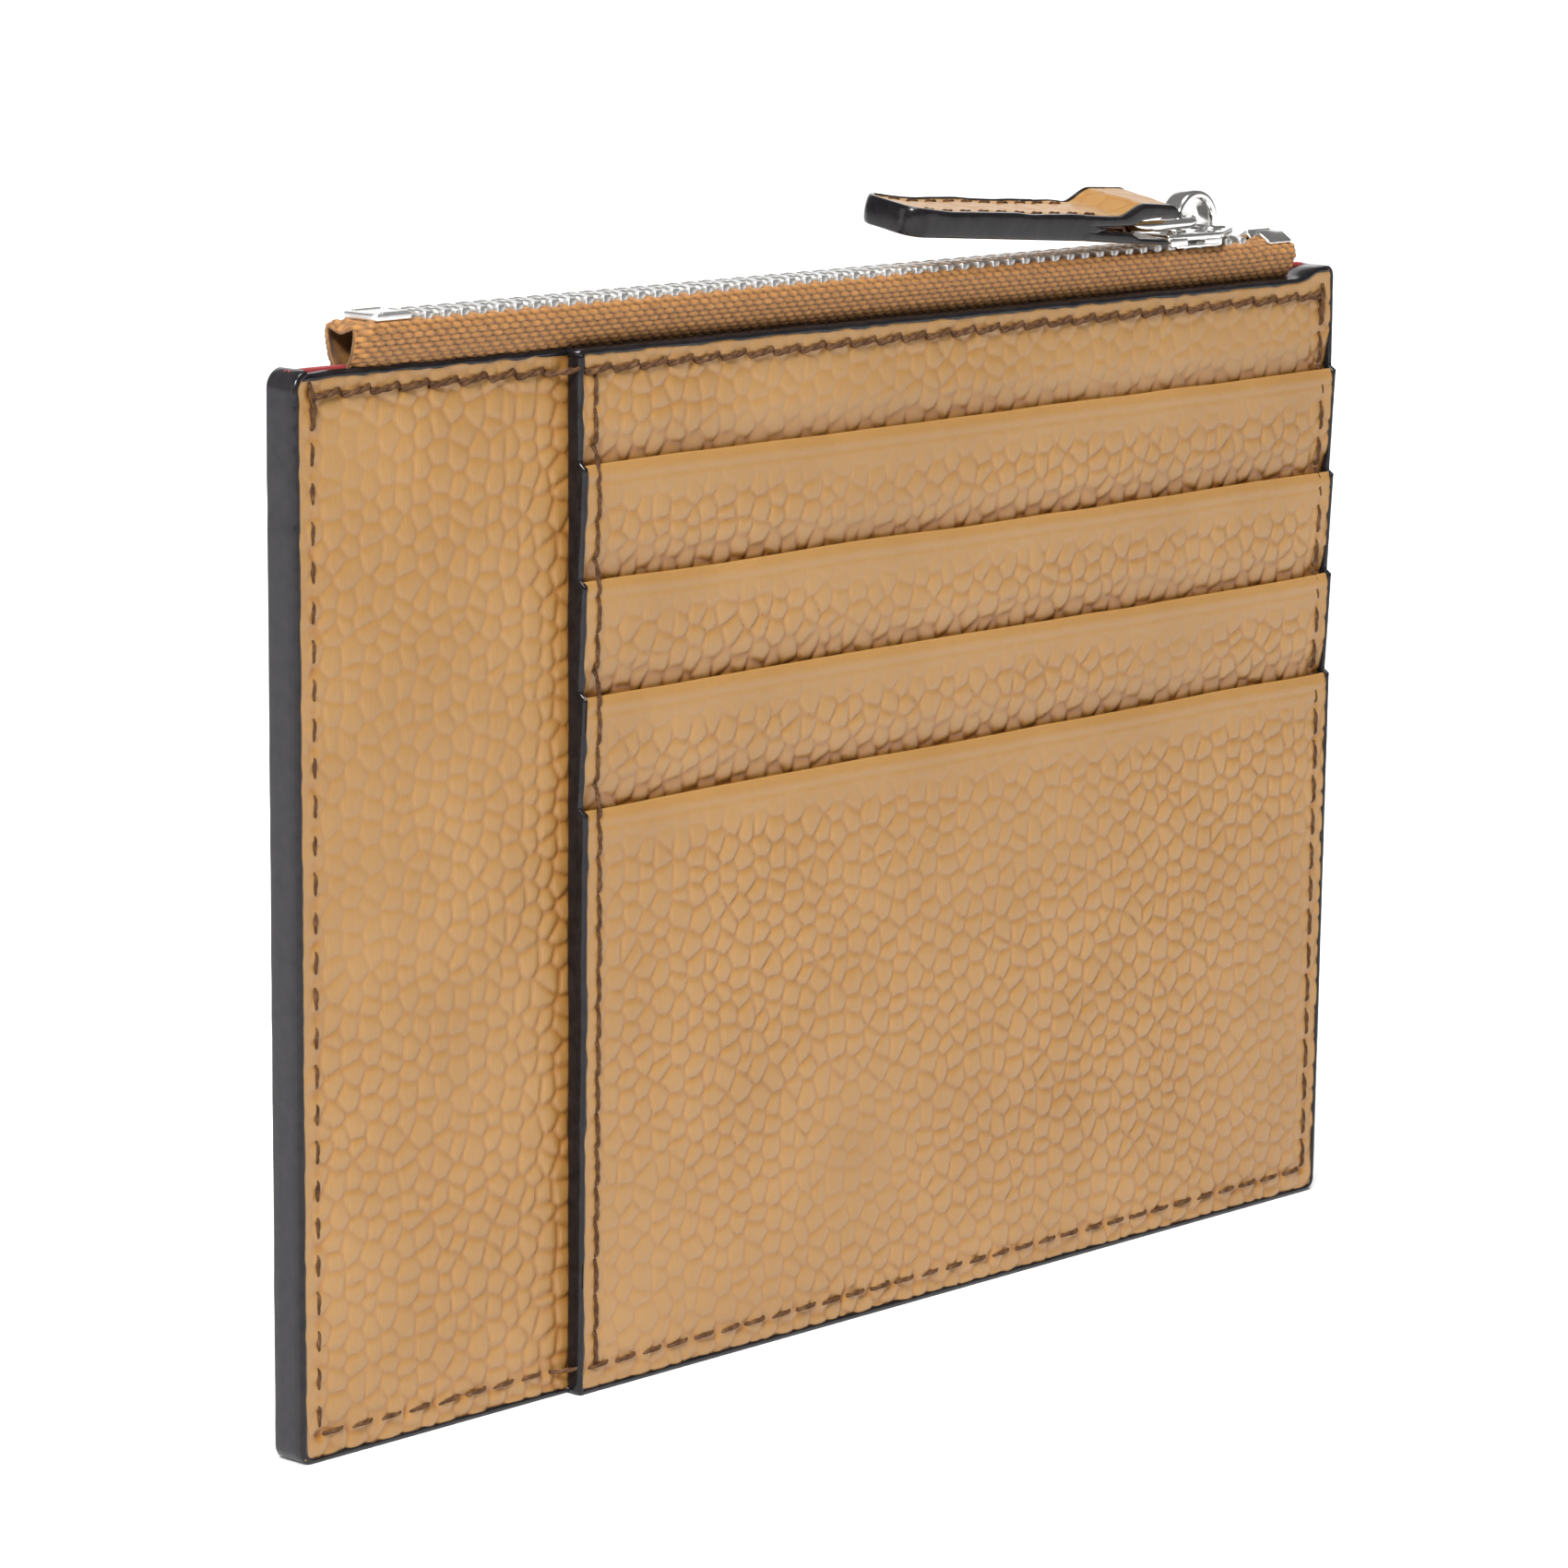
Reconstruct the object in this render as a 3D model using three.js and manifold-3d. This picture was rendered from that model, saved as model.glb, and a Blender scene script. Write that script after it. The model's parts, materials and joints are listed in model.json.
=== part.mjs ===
// A flat zipped card pouch: two leather panels sewn round three sides, a metal zip along the top,
// a stack of four card pockets on the front that is open at its left side as a slip pocket,
// and a zip slider with a bail, a ring and a leather pull.
// Millimetres. +X runs along the zip from its bottom stop to the slider, +Z is up, -Y is the front.
// The origin is under the middle of the pouch, on the edge that it stands on.
import * as THREE from "three";
import { mergeVertices } from "three/addons/utils/BufferGeometryUtils.js";
import Module from "manifold-3d";

const wasm = await Module();
wasm.setup();

// Driving dimensions.
const width = 130; // whole pouch, along X
const zipLine = 88.65; // top edge of the panels beside the zip, at the middle
const zipSlope = THREE.MathUtils.degToRad(0.55); // the zip and this edge drop towards the slider
const earLeft = 89.45; // the panels' top corners
const earRight = 89.2;
const earWidth = 3.4;
const earRise = 0.8; // run of the short slope up to a corner
const thickness = 3.4; // both sides of the body, without the pockets
const cornerRadius = 1.8;
const coat = 0.35; // thickness of the painted edge coat
const gap = 0.03; // clearance between glued layers
const past = 1; // how far a cutting shape passes what it cuts

const leather = 0.93;
const stiffener = 0.28;
const liningCloth = 0.17;
const outerFace = thickness / 2;
const leatherInner = outerFace - leather;
const liningOuter = 0.34; // distance of each lining from the middle plane
const liningRise = 0.15; // the lining shows this far over the top edge
const layerInset = 0.4; // boards and linings stop this far inside the edge coat
const tapeMiddle = 0.56; // distance of each zip tape from the middle plane, inside the pouch

const stackLeft = -34.75; // open left side of the pocket stack
const slotEdges = [79.3, 69.6, 59.9, 50.4]; // height of each card slot, from the top down
const slotStep = 0.55; // how far a slot's edge stands in front of the leather above it
const stackFront = 3.2; // the stack's face in front of the middle plane, between the steps
const pocketLeather = 0.48;
const underlap = 4.5; // how far a strip runs down behind the next one
const pocketDepth = 48;
const pocketCloth = 0.12;
const pocketClothFront = 2.1; // the topmost pocket cloth, in front of the middle plane
const pocketClothStep = 0.17;
const pocketClothDrop = 0.3; // the cloth starts this far under the leather's foot
const headerBack = 2.35;
const headerLean = 0.46; // share of a step that the header leans in by its foot
const kneeHeight = 30; // the lowest pocket's face bends here
const kneeReach = 0.25;
const lowPocketFoot = 0.6; // thickness of the lowest pocket at its foot
const backingGap = 0.05;
const stackBottom = 0.15;

const seamInset = 1.9; // sewing line to the edge
const topSeam = 1.6; // sewing line to the top edge
const threadWidth = 0.45;
const threadHeight = 0.2;
const threadLift = 0.02; // the thread round the stack stands clear of the one along it
const stackSeamStart = 0.1; // clear of the seams that it meets

const chainTop = 92.85;
const chainBottom = chainTop - 1.7;
const chainHalf = 2; // half the chain's width
const toothPitch = 2.03;
const toothWidth = 0.92;
const toothReach = 0.55; // how far a tooth's head passes the middle plane
const tapeThickness = 0.35;
const tapeLevel = chainTop - 0.85; // height of the tapes where the teeth hold them
const beadInner = 1.0;
const beadOuter = 1.3;
const chainStart = -52.1;
const chainEnd = 55.1;
const tapeStart = -58.5;
const tapeEnd = 60;
const tapeFoot = 82;
const roofStart = 55.9; // past here the tapes lean together like a roof
const roofLap = 0.2;
const toothSlot = tapeThickness / 2 + 0.06; // half the opening that takes the tape
const beadHalf = 0.3;
const bottomStopStart = -56.4;
const bottomStopEnd = -52.6;
const bottomStopRise = 0.08; // over the teeth
const topStopStart = 56.6;
const topStopEnd = 59.9;
const topStopLean = Math.atan2(0.96, 1.48); // slope of the leaning tape
const topStopY = 0.52;
const topStopRise = 0.49;
const clip = 0.3; // sheet of a top stop
const clipReach = 1.55;
const clipBack = 0.13;
const clipOver = 0.2;

const plateBottom = chainTop + 0.2;
const plateTop = plateBottom + 0.6;
const sliderTail = 41.5;
const sliderShoulder = 48.4;
const sliderNose = 53;
const tailHalf = 2.8;
const shoulderHalf = 3.3;
const noseHalf = 1;
const plateBevel = 0.18;
const flangeInset = 0.2; // from the plate's ends
const flangeDrop = 0.38; // the flanges reach this far under the tops of the teeth
const stubTop = 0.8; // radii of what is left of the post between the two plates
const stubFoot = 0.6;
const stubHeight = 0.35;
const stubInset = 2.2;
const lowerTailHalf = 1.35;
const lowerShoulderHalf = 1.5;
const lowerNoseHalf = 0.6;
const lowerNose = sliderNose - 0.4;
const lowerPlate = 0.5;
const lowerDrop = 0.7; // the lower plate's underside, below the teeth
const bailX = 47.3;
const bailLevel = 94.4;
const bailOuter = 3;
const bailInner = 2.15;
const bailWidth = 2.3;

const ringWire = 1;
const ringWidth = 5;
const ringCorner = 1.6; // at the straight bar that the pull hangs on
const ringTip = 48; // right end of the ring
const ringEnd = 37.4; // left end of the ring, inside the pull
const ringLevel = 94.3; // height of the ring under the bail's centre
const ringBevel = 0.35;
const ringTilt = THREE.MathUtils.degToRad(2);

const pullWidth = 7;
const pullLength = 32; // from the ring's bar to the free end
const pullCorner = 1.6;
const pullTip = 3.4; // the pull's lip past the ring's bar
const pullTilt = THREE.MathUtils.degToRad(5);
const leafNeck = 0.97;
const leafBody = 1.1;
const skivedLip = 0.38; // the lower leaf is thinned under the ring
const splitBack = -9; // the leaves part between these two
const splitFront = -7.2;
const splitEnd = -2.6;
const tongueThickness = 0.35;
const tongueWidth = 1.6;
const tongueEnd = -7;
const eyeRadius = 0.63; // the tongue's loop round the ring's bar
const pullSeamFree = 1.3; // from the free end
const pullSeamEnd = -4.2;
const pullSeamWidth = 4.6;
const pullThread = 0.4;
const pullThreadHeight = 0.18;
const pullThreadLift = 0.02;

// Materials.
const finish = (color, roughness, metalness = 0) =>
  new THREE.MeshStandardMaterial({ color, roughness, metalness });
const grainLeather = finish(0xc08f57, 0.5);
const blackCoat = finish(0x1d1a1c, 0.25);
const redCloth = finish(0xb3202a, 0.85);
const tanCloth = finish(0xa9783f, 0.85);
const board = finish(0x8d7660, 0.9);
const brownThread = finish(0x5f3f25, 0.75);
const bronzeTape = finish(0xb07a3c, 0.8);
const steel = finish(0xc9c9cc, 0.2, 1);

const pouch = new THREE.Group();
const zipGroup = new THREE.Group();
zipGroup.applyMatrix4(new THREE.Matrix4().makeTranslation(0, 0, -zipLine));
zipGroup.applyMatrix4(new THREE.Matrix4().makeRotationY(zipSlope));
zipGroup.applyMatrix4(new THREE.Matrix4().makeTranslation(0, 0, zipLine));
pouch.add(zipGroup);

// Helpers.
function add(name, geometry, material, parent = pouch) {
  const mesh = new THREE.Mesh(geometry, material);
  mesh.name = name;
  parent.add(mesh);
  return mesh;
}

function solid(geometry) {
  const bare = geometry.clone();
  bare.deleteAttribute("normal");
  bare.deleteAttribute("uv");
  const merged = mergeVertices(bare, 1e-4);
  return new wasm.Manifold(
    new wasm.Mesh({
      numProp: 3,
      vertProperties: merged.attributes.position.array,
      triVerts: new Uint32Array(merged.index.array),
    }),
  );
}

function geometryOf(made) {
  const mesh = made.getMesh();
  const geometry = new THREE.BufferGeometry();
  geometry.setAttribute("position", new THREE.BufferAttribute(mesh.vertProperties, 3));
  geometry.setIndex(new THREE.BufferAttribute(mesh.triVerts, 1));
  geometry.computeVertexNormals();
  return geometry;
}

const join = (...geometries) =>
  geometryOf(geometries.map(solid).reduce((whole, part) => whole.add(part)));

const cut = (geometry, ...tools) =>
  geometryOf(tools.map(solid).reduce((whole, tool) => whole.subtract(tool), solid(geometry)));

function block(x0, x1, y0, y1, z0, z1) {
  const geometry = new THREE.BoxGeometry(x1 - x0, y1 - y0, z1 - z0);
  return geometry.translate((x0 + x1) / 2, (y0 + y1) / 2, (z0 + z1) / 2);
}

const extrude = (shape, depth, bevel = 0, curveSegments = 6) =>
  new THREE.ExtrudeGeometry(shape, {
    depth: depth - 2 * bevel,
    bevelEnabled: bevel > 0,
    bevelSize: bevel,
    bevelThickness: bevel,
    bevelSegments: 2,
    curveSegments,
  }).translate(0, 0, bevel);

// A profile drawn in Y and Z, run along X from x0 to x1.
function alongX(shape, x0, x1) {
  const turn = new THREE.Matrix4().makeBasis(
    new THREE.Vector3(0, 1, 0),
    new THREE.Vector3(0, 0, 1),
    new THREE.Vector3(1, 0, 0),
  );
  return extrude(shape, x1 - x0).applyMatrix4(turn).translate(x0, 0, 0);
}

// An outline drawn in X and Z, run along Y from y0 to y1.
function alongY(shape, y0, y1, bevel = 0, curveSegments = 6) {
  return extrude(shape, y1 - y0, bevel, curveSegments)
    .rotateX(Math.PI / 2)
    .translate(0, y1, 0);
}

const polygon = (points) => new THREE.Shape(points.map(([a, b]) => new THREE.Vector2(a, b)));

// The Y and Z profile mirrored to the other side of the middle plane.
const mirrored = (points) => points.map(([y, z]) => [-y, z]).reverse();

// Body: panels, stiffeners, linings and edge coat.

// Height of the top edge at a place along the zip.
const topEdge = (x) => zipLine - x * Math.tan(zipSlope);

// The top edge between the two corners, from right to left.
function topPoints(inset) {
  const notch = width / 2 - earWidth;
  return [
    [notch, earRight - inset],
    [notch - earRise, topEdge(notch - earRise) - inset],
    [earRise - notch, topEdge(earRise - notch) - inset],
    [-notch, earLeft - inset],
  ];
}

function bodyOutline(inset) {
  const x = width / 2 - inset;
  const low = inset;
  const r = cornerRadius - inset;
  const [left, right] = [earLeft - inset, earRight - inset];
  const shape = new THREE.Shape();
  shape.moveTo(-x + r, low);
  shape.lineTo(x - r, low);
  shape.absarc(x - r, low + r, r, -Math.PI / 2, 0, false);
  shape.lineTo(x, right - r);
  shape.absarc(x - r, right - r, r, 0, Math.PI / 2, false);
  for (const [px, pz] of topPoints(inset)) shape.lineTo(px, pz);
  shape.lineTo(-x + r, left);
  shape.absarc(-x + r, left - r, r, Math.PI / 2, Math.PI, false);
  shape.lineTo(-x, low + r);
  shape.absarc(-x + r, low + r, r, Math.PI, Math.PI * 1.5, false);
  return shape;
}

// Cuts off what stands above the top edge.
function trimTop(geometry) {
  const far = 100;
  const round = [[-width, earLeft], [-width, far], [width, far], [width, earRight]];
  const above = polygon([...topPoints(0), ...round]);
  return cut(geometry, alongY(above, -far, far));
}

// A bar that follows the top edge, a given depth below it.
function topBar(x0, x1, y0, y1, depth, half) {
  const [z0, z1] = [topEdge(x0) - depth, topEdge(x1) - depth];
  return alongY(polygon([[x0, z0 - half], [x1, z1 - half], [x1, z1 + half], [x0, z0 + half]]), y0, y1);
}

// A sewing line round the pouch, as bars between two Y values.
function seamBars(y0, y1, grow) {
  const side = width / 2 - seamInset;
  const half = threadWidth / 2 + grow;
  const bars = [block(-side, side, y0, y1, seamInset - half, seamInset + half)];
  bars.push(topBar(-side, side, y0, y1, topSeam, half));
  for (const x of [-side, side]) {
    bars.push(block(x - half, x + half, y0, y1, seamInset - half, topEdge(x) - topSeam + half));
  }
  return bars;
}

function buildBody() {
  const panel = bodyOutline(coat + gap);
  add("front_panel", alongY(panel, -outerFace, -leatherInner), grainLeather);
  const groove = threadHeight + 2 * gap;
  const back = alongY(panel, leatherInner, outerFace);
  add("back_panel", cut(back, ...seamBars(outerFace - groove, outerFace + past, gap)), grainLeather);
  add(
    "back_seam_thread",
    join(...seamBars(outerFace - gap - threadHeight, outerFace - gap, 0)),
    brownThread,
  );

  const inset = coat + layerInset;
  const side = width / 2 - inset;
  const stiffenerTop = tapeFoot - 1;
  for (const [name, sign] of [["front", -1], ["back", 1]]) {
    const between = (a, b) => [Math.min(sign * a, sign * b), Math.max(sign * a, sign * b)];
    const [s0, s1] = between(leatherInner - gap, leatherInner - gap - stiffener);
    add(`${name}_stiffener`, block(-side, side, s0, s1, inset, stiffenerTop), board);
    const [l0, l1] = between(liningOuter, liningOuter - liningCloth);
    const [leftTop, rightTop] = [topEdge(-side) + liningRise, topEdge(side) + liningRise];
    const lining = polygon([[-side, inset], [side, inset], [side, rightTop], [-side, leftTop]]);
    add(`${name}_lining`, alongY(lining, l0, l1), redCloth);
  }

  const through = [-outerFace - past, outerFace + past];
  const hollow = alongY(bodyOutline(coat), ...through);
  const opening = block(-side, side, ...through, tapeFoot, earLeft + past);
  add("edge_coat", cut(alongY(bodyOutline(0), -outerFace, outerFace), hollow, opening), blackCoat);
}

// Pocket stack.
const stackRight = width / 2;
const stackTop = zipLine + 3; // before it is trimmed to the top edge

// Front face of the stack: [Y, Z] points from the top down, with a step out at each slot.
// The line is moved out by the offset.
function stackProfile(offset) {
  const y = -stackFront - offset;
  const points = [[y, stackTop]];
  for (const z of slotEdges) points.push([y, z + offset], [y - slotStep, z + offset]);
  points.push([y - kneeReach, kneeHeight], [y, stackBottom]);
  return points;
}

// One leather strip: it leans inwards as it goes down and ends behind the next strip.
function stripShape(top, next) {
  const lean = slotStep / (top - next);
  const foot = next - underlap;
  const face = -stackFront - slotStep;
  const footFace = face + lean * (top - foot);
  return polygon([
    [face, top],
    [footFace, foot],
    [footFace + pocketLeather, foot],
    [face + pocketLeather, top],
  ]);
}

function buildStack() {
  const left = stackLeft + coat + gap;
  const right = stackRight;
  const clothRight = stackRight - coat;
  const backingBack = outerFace + backingGap;
  add(
    "stack_backing",
    trimTop(block(left, clothRight, -backingBack - liningCloth, -backingBack, stackBottom, stackTop)),
    tanCloth,
  );

  const headerFoot = slotEdges[0] - underlap;
  const header = polygon([
    [-stackFront, stackTop],
    [-stackFront, slotEdges[0]],
    [-stackFront + slotStep * headerLean, headerFoot],
    [-headerBack, headerFoot],
    [-headerBack, stackTop],
  ]);
  add("header_strip", trimTop(alongX(header, left, right)), grainLeather);

  for (let i = 0; i < 3; i++) {
    const strip = stripShape(slotEdges[i], slotEdges[i + 1]);
    add(`card_pocket_${i + 1}`, alongX(strip, left, right), grainLeather);
    const front = -pocketClothFront - pocketClothStep * i;
    const clothTop = slotEdges[i + 1] - underlap - pocketClothDrop;
    const clothFoot = slotEdges[i] - pocketDepth;
    add(
      `pocket_lining_${i + 1}`,
      block(left, clothRight, front, front + pocketCloth, clothFoot, clothTop),
      tanCloth,
    );
  }

  const lowest = slotEdges[3];
  const face = -stackFront - slotStep;
  const lowPocket = polygon([
    [face, lowest],
    [-stackFront - kneeReach, kneeHeight],
    [-stackFront, stackBottom],
    [-stackFront + lowPocketFoot, stackBottom],
    [-stackFront + lowPocketFoot - kneeReach, kneeHeight],
    [face + pocketLeather, lowest],
  ]);
  add("card_pocket_4", alongX(lowPocket, left, right), grainLeather);

  const edge = stackProfile(0);
  edge.push([-backingBack, stackBottom], [-backingBack, stackTop]);
  add("stack_edge_coat", trimTop(alongX(polygon(edge), stackLeft, stackLeft + coat)), blackCoat);
}

// Threads on the front.

// A band of thread that follows the front face of the stack, between two heights.
function threadOverStack(x, low, high) {
  const inner = stackProfile(gap);
  const outer = stackProfile(gap + threadHeight).reverse();
  const band = alongX(polygon([...inner, ...outer]), x - threadWidth / 2, x + threadWidth / 2);
  const far = 200;
  return cut(
    band,
    block(-far, far, -far, far, high, far),
    block(-far, far, -far, far, -far, low),
  );
}

function buildFrontThreads() {
  const side = width / 2 - seamInset;
  const half = threadWidth / 2;
  const low = seamInset;
  const high = (x) => topEdge(x) - topSeam;
  const panelFace = -outerFace - gap;
  const stackFace = -stackFront - gap - threadLift;
  const stepX = stackLeft - gap;
  const onPanel = [-side, stepX, panelFace - threadHeight, panelFace];
  const overStep = [stepX - threadHeight, stepX, stackFace - threadHeight, panelFace];
  const onStack = [stepX - threadHeight, side, stackFace - threadHeight, stackFace];
  const bars = [
    block(-side - half, -side + half, ...onPanel.slice(2), low - half, high(-side) + half),
    threadOverStack(side, low - half, high(side) + half),
  ];
  for (const run of [onPanel, overStep, onStack]) {
    bars.push(block(...run, low - half, low + half), topBar(...run, topSeam, half));
  }
  add("front_seam_thread", join(...bars), brownThread);
  const stackSeam = stackLeft + seamInset;
  const ends = [low + half + stackSeamStart, high(stackSeam) - half - stackSeamStart];
  add("stack_seam_thread", threadOverStack(stackSeam, ...ends), brownThread);
}

// Zip: tapes, teeth and stops.

// Middle line of one tape from its foot to the teeth, drawn for the back half.
const tapeRise = [
  [tapeMiddle, tapeFoot],
  [tapeMiddle, zipLine + 0.2],
  [0.8, zipLine + 0.6],
  [1.4, zipLine + 1.1],
];
const tapePath = [
  ...tapeRise,
  [2.0, tapeLevel - 1.6],
  [2.33, tapeLevel - 0.85],
  [2.3, tapeLevel - 0.3],
  [2.08, tapeLevel],
  [beadOuter + gap + 0.05, tapeLevel],
];
const roofPath = [
  ...tapeRise,
  [1.85, tapeLevel - 1.8],
  [2.25, tapeLevel - 1.2],
  [2.35, tapeLevel - 0.85],
  [2.15, tapeLevel - 0.56],
  [0.67, tapeLevel + 0.4],
];

// The outline of a ribbon of even thickness along a line of points.
function ribbon(points, thick) {
  const sides = [[], []];
  points.forEach(([y, z], i) => {
    const [ya, za] = points[Math.max(i - 1, 0)];
    const [yb, zb] = points[Math.min(i + 1, points.length - 1)];
    const length = Math.hypot(yb - ya, zb - za);
    const ny = ((zb - za) / length) * (thick / 2);
    const nz = (-(yb - ya) / length) * (thick / 2);
    sides[0].push([y + ny, z + nz]);
    sides[1].push([y - ny, z - nz]);
  });
  return [...sides[0], ...sides[1].reverse()];
}

// A tooth's profile in Y and Z: a head past the middle plane and two legs round the tape's bead.
function toothProfile(reach) {
  return [
    [-reach, chainBottom + 0.35],
    [-reach + 0.35, chainBottom],
    [chainHalf - 0.15, chainBottom],
    [chainHalf, chainBottom + 0.15],
    [chainHalf, tapeLevel - toothSlot],
    [beadOuter, tapeLevel - toothSlot],
    [beadOuter, tapeLevel + toothSlot],
    [chainHalf, tapeLevel + toothSlot],
    [chainHalf, chainTop - 0.15],
    [chainHalf - 0.15, chainTop],
    [-reach + 0.35, chainTop],
    [-reach, chainTop - 0.35],
  ];
}

function teethRow(flip, offset) {
  const shape = polygon(flip ? mirrored(toothProfile(toothReach)) : toothProfile(toothReach));
  const bead = flip ? [-beadOuter, -beadInner] : [beadInner, beadOuter];
  const pieces = [];
  let last = chainStart;
  for (let x = chainStart + offset; x + toothWidth < chainEnd; x += toothPitch) {
    pieces.push(alongX(shape, x, x + toothWidth));
    last = x + toothWidth;
  }
  pieces.push(block(chainStart + offset, last, ...bead, tapeLevel - beadHalf, tapeLevel + beadHalf));
  return join(...pieces);
}

function buildZip() {
  for (const [name, flip] of [["front", true], ["back", false]]) {
    const side = (points) => polygon(flip ? mirrored(points) : points);
    const straight = alongX(side(ribbon(tapePath, tapeThickness)), tapeStart, roofStart);
    const roof = alongX(side(ribbon(roofPath, tapeThickness)), roofStart - roofLap, tapeEnd);
    add(`zip_tape_${name}`, join(straight, roof), bronzeTape, zipGroup);
    add(`teeth_${name}`, teethRow(flip, flip ? toothPitch / 2 : 0), steel, zipGroup);
    add(`top_stop_${name}`, topStop(flip), steel, zipGroup);
  }
  add("bottom_stop", bottomStop(), steel, zipGroup);
}

function bottomStop() {
  const half = toothProfile(0);
  const raise = ([y, z]) => [y, z > tapeLevel ? z + bottomStopRise : z];
  const inner = half.filter(([y]) => y > beadInner).map(raise);
  const shape = polygon([...inner, ...mirrored(inner)]);
  return alongX(shape, bottomStopStart, bottomStopEnd);
}

// A clip folded over the leaning edge of one tape.
function topStop(flip) {
  const local = [
    [-clipOver, -toothSlot - clip],
    [clipReach, -toothSlot - clip],
    [clipReach, -toothSlot],
    [clipBack, -toothSlot],
    [clipBack, toothSlot],
    [clipReach, toothSlot],
    [clipReach, toothSlot + clip],
    [-clipOver, toothSlot + clip],
  ];
  const points = local.map(([along, out]) => [
    topStopY + along * Math.cos(topStopLean) + out * Math.sin(topStopLean),
    tapeLevel + topStopRise - along * Math.sin(topStopLean) + out * Math.cos(topStopLean),
  ]);
  return alongX(polygon(flip ? mirrored(points) : points), topStopStart, topStopEnd);
}

// Slider.
function platePlan(inset) {
  const tail = tailHalf - inset;
  const wide = shoulderHalf - inset;
  const nose = noseHalf - inset / 2;
  return polygon([
    [sliderTail + inset, -tail],
    [sliderShoulder, -wide],
    [sliderNose - inset, -nose],
    [sliderNose - inset, nose],
    [sliderShoulder, wide],
    [sliderTail + inset, tail],
  ]);
}

function buildSlider() {
  const plan = platePlan(plateBevel);
  const plate = extrude(plan, plateTop - plateBottom, plateBevel).translate(0, 0, plateBottom);
  const flangeLow = chainTop - flangeDrop;
  const flanges = [-1, 1].map((sign) => {
    const run = polygon([
      [sliderTail + flangeInset, sign * (tailHalf - 0.02)],
      [sliderShoulder - flangeInset, sign * (shoulderHalf - 0.06)],
      [sliderShoulder - flangeInset, sign * (shoulderHalf - 0.68)],
      [sliderTail + flangeInset, sign * (tailHalf - 0.54)],
    ]);
    return extrude(run, plateBottom + flangeInset - flangeLow).translate(0, 0, flangeLow);
  });
  const stub = new THREE.CylinderGeometry(stubTop, stubFoot, stubHeight, 12).rotateX(Math.PI / 2);
  stub.translate(sliderNose - stubInset, 0, plateBottom);
  add("slider_top_plate", join(plate, ...flanges, stub), steel, zipGroup);

  const lower = polygon([
    [sliderTail, -lowerTailHalf],
    [sliderShoulder, -lowerShoulderHalf],
    [lowerNose, -lowerNoseHalf],
    [lowerNose, lowerNoseHalf],
    [sliderShoulder, lowerShoulderHalf],
    [sliderTail, lowerTailHalf],
  ]);
  const lowerLevel = chainBottom - lowerDrop;
  add("slider_bottom_plate", extrude(lower, lowerPlate).translate(0, 0, lowerLevel), steel, zipGroup);

  const arch = new THREE.Shape();
  arch.moveTo(bailX + bailInner, plateTop + gap);
  arch.lineTo(bailX + bailOuter, plateTop + gap);
  arch.absarc(bailX, bailLevel, bailOuter, 0, Math.PI, false);
  arch.lineTo(bailX - bailOuter, plateTop + gap);
  arch.lineTo(bailX - bailInner, plateTop + gap);
  arch.absarc(bailX, bailLevel, bailInner, Math.PI, 0, true);
  add("slider_bail", alongY(arch, -bailWidth / 2, bailWidth / 2, 0, 14), steel, zipGroup);
}

// Ring and pull.

// The ring swings about a point in the bail just above its middle, and the pull about its left bar.
const barX = ringEnd + ringWire / 2;
const barLevel = ringLevel + (bailX - barX) * Math.tan(ringTilt);

// A flat loop outline: a half circle at its right end, and corners of the given radius at its left.
function loopOutline(length, breadth, corner, PathClass) {
  const r = breadth / 2;
  const path = new PathClass();
  path.moveTo(-length / 2 + corner, -r);
  path.lineTo(length / 2 - r, -r);
  path.absarc(length / 2 - r, 0, r, -Math.PI / 2, Math.PI / 2, false);
  path.lineTo(-length / 2 + corner, r);
  path.absarc(-length / 2 + corner, r - corner, corner, Math.PI / 2, Math.PI, false);
  path.lineTo(-length / 2, corner - r);
  path.absarc(-length / 2 + corner, corner - r, corner, Math.PI, Math.PI * 1.5, false);
  return path;
}

function buildRing() {
  const bevel = ringBevel;
  const length = (ringTip - ringEnd) / Math.cos(ringTilt);
  const corners = ringCorner - bevel;
  const shape = loopOutline(length - 2 * bevel, ringWidth - 2 * bevel, corners, THREE.Shape);
  const shrink = 2 * ringWire - 2 * bevel;
  const corner = ringCorner - ringWire + bevel;
  shape.holes.push(loopOutline(length - shrink, ringWidth - shrink, corner, THREE.Path));
  const flat = extrude(shape, ringWire, bevel, 10).translate(0, 0, -ringWire / 2);
  const middleX = (ringTip + ringEnd) / 2;
  const ring = add("pull_ring", flat, steel, zipGroup);
  ring.position.set(middleX, 0, ringLevel + (bailX - middleX) * Math.tan(ringTilt));
  ring.rotation.y = ringTilt;
}

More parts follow.
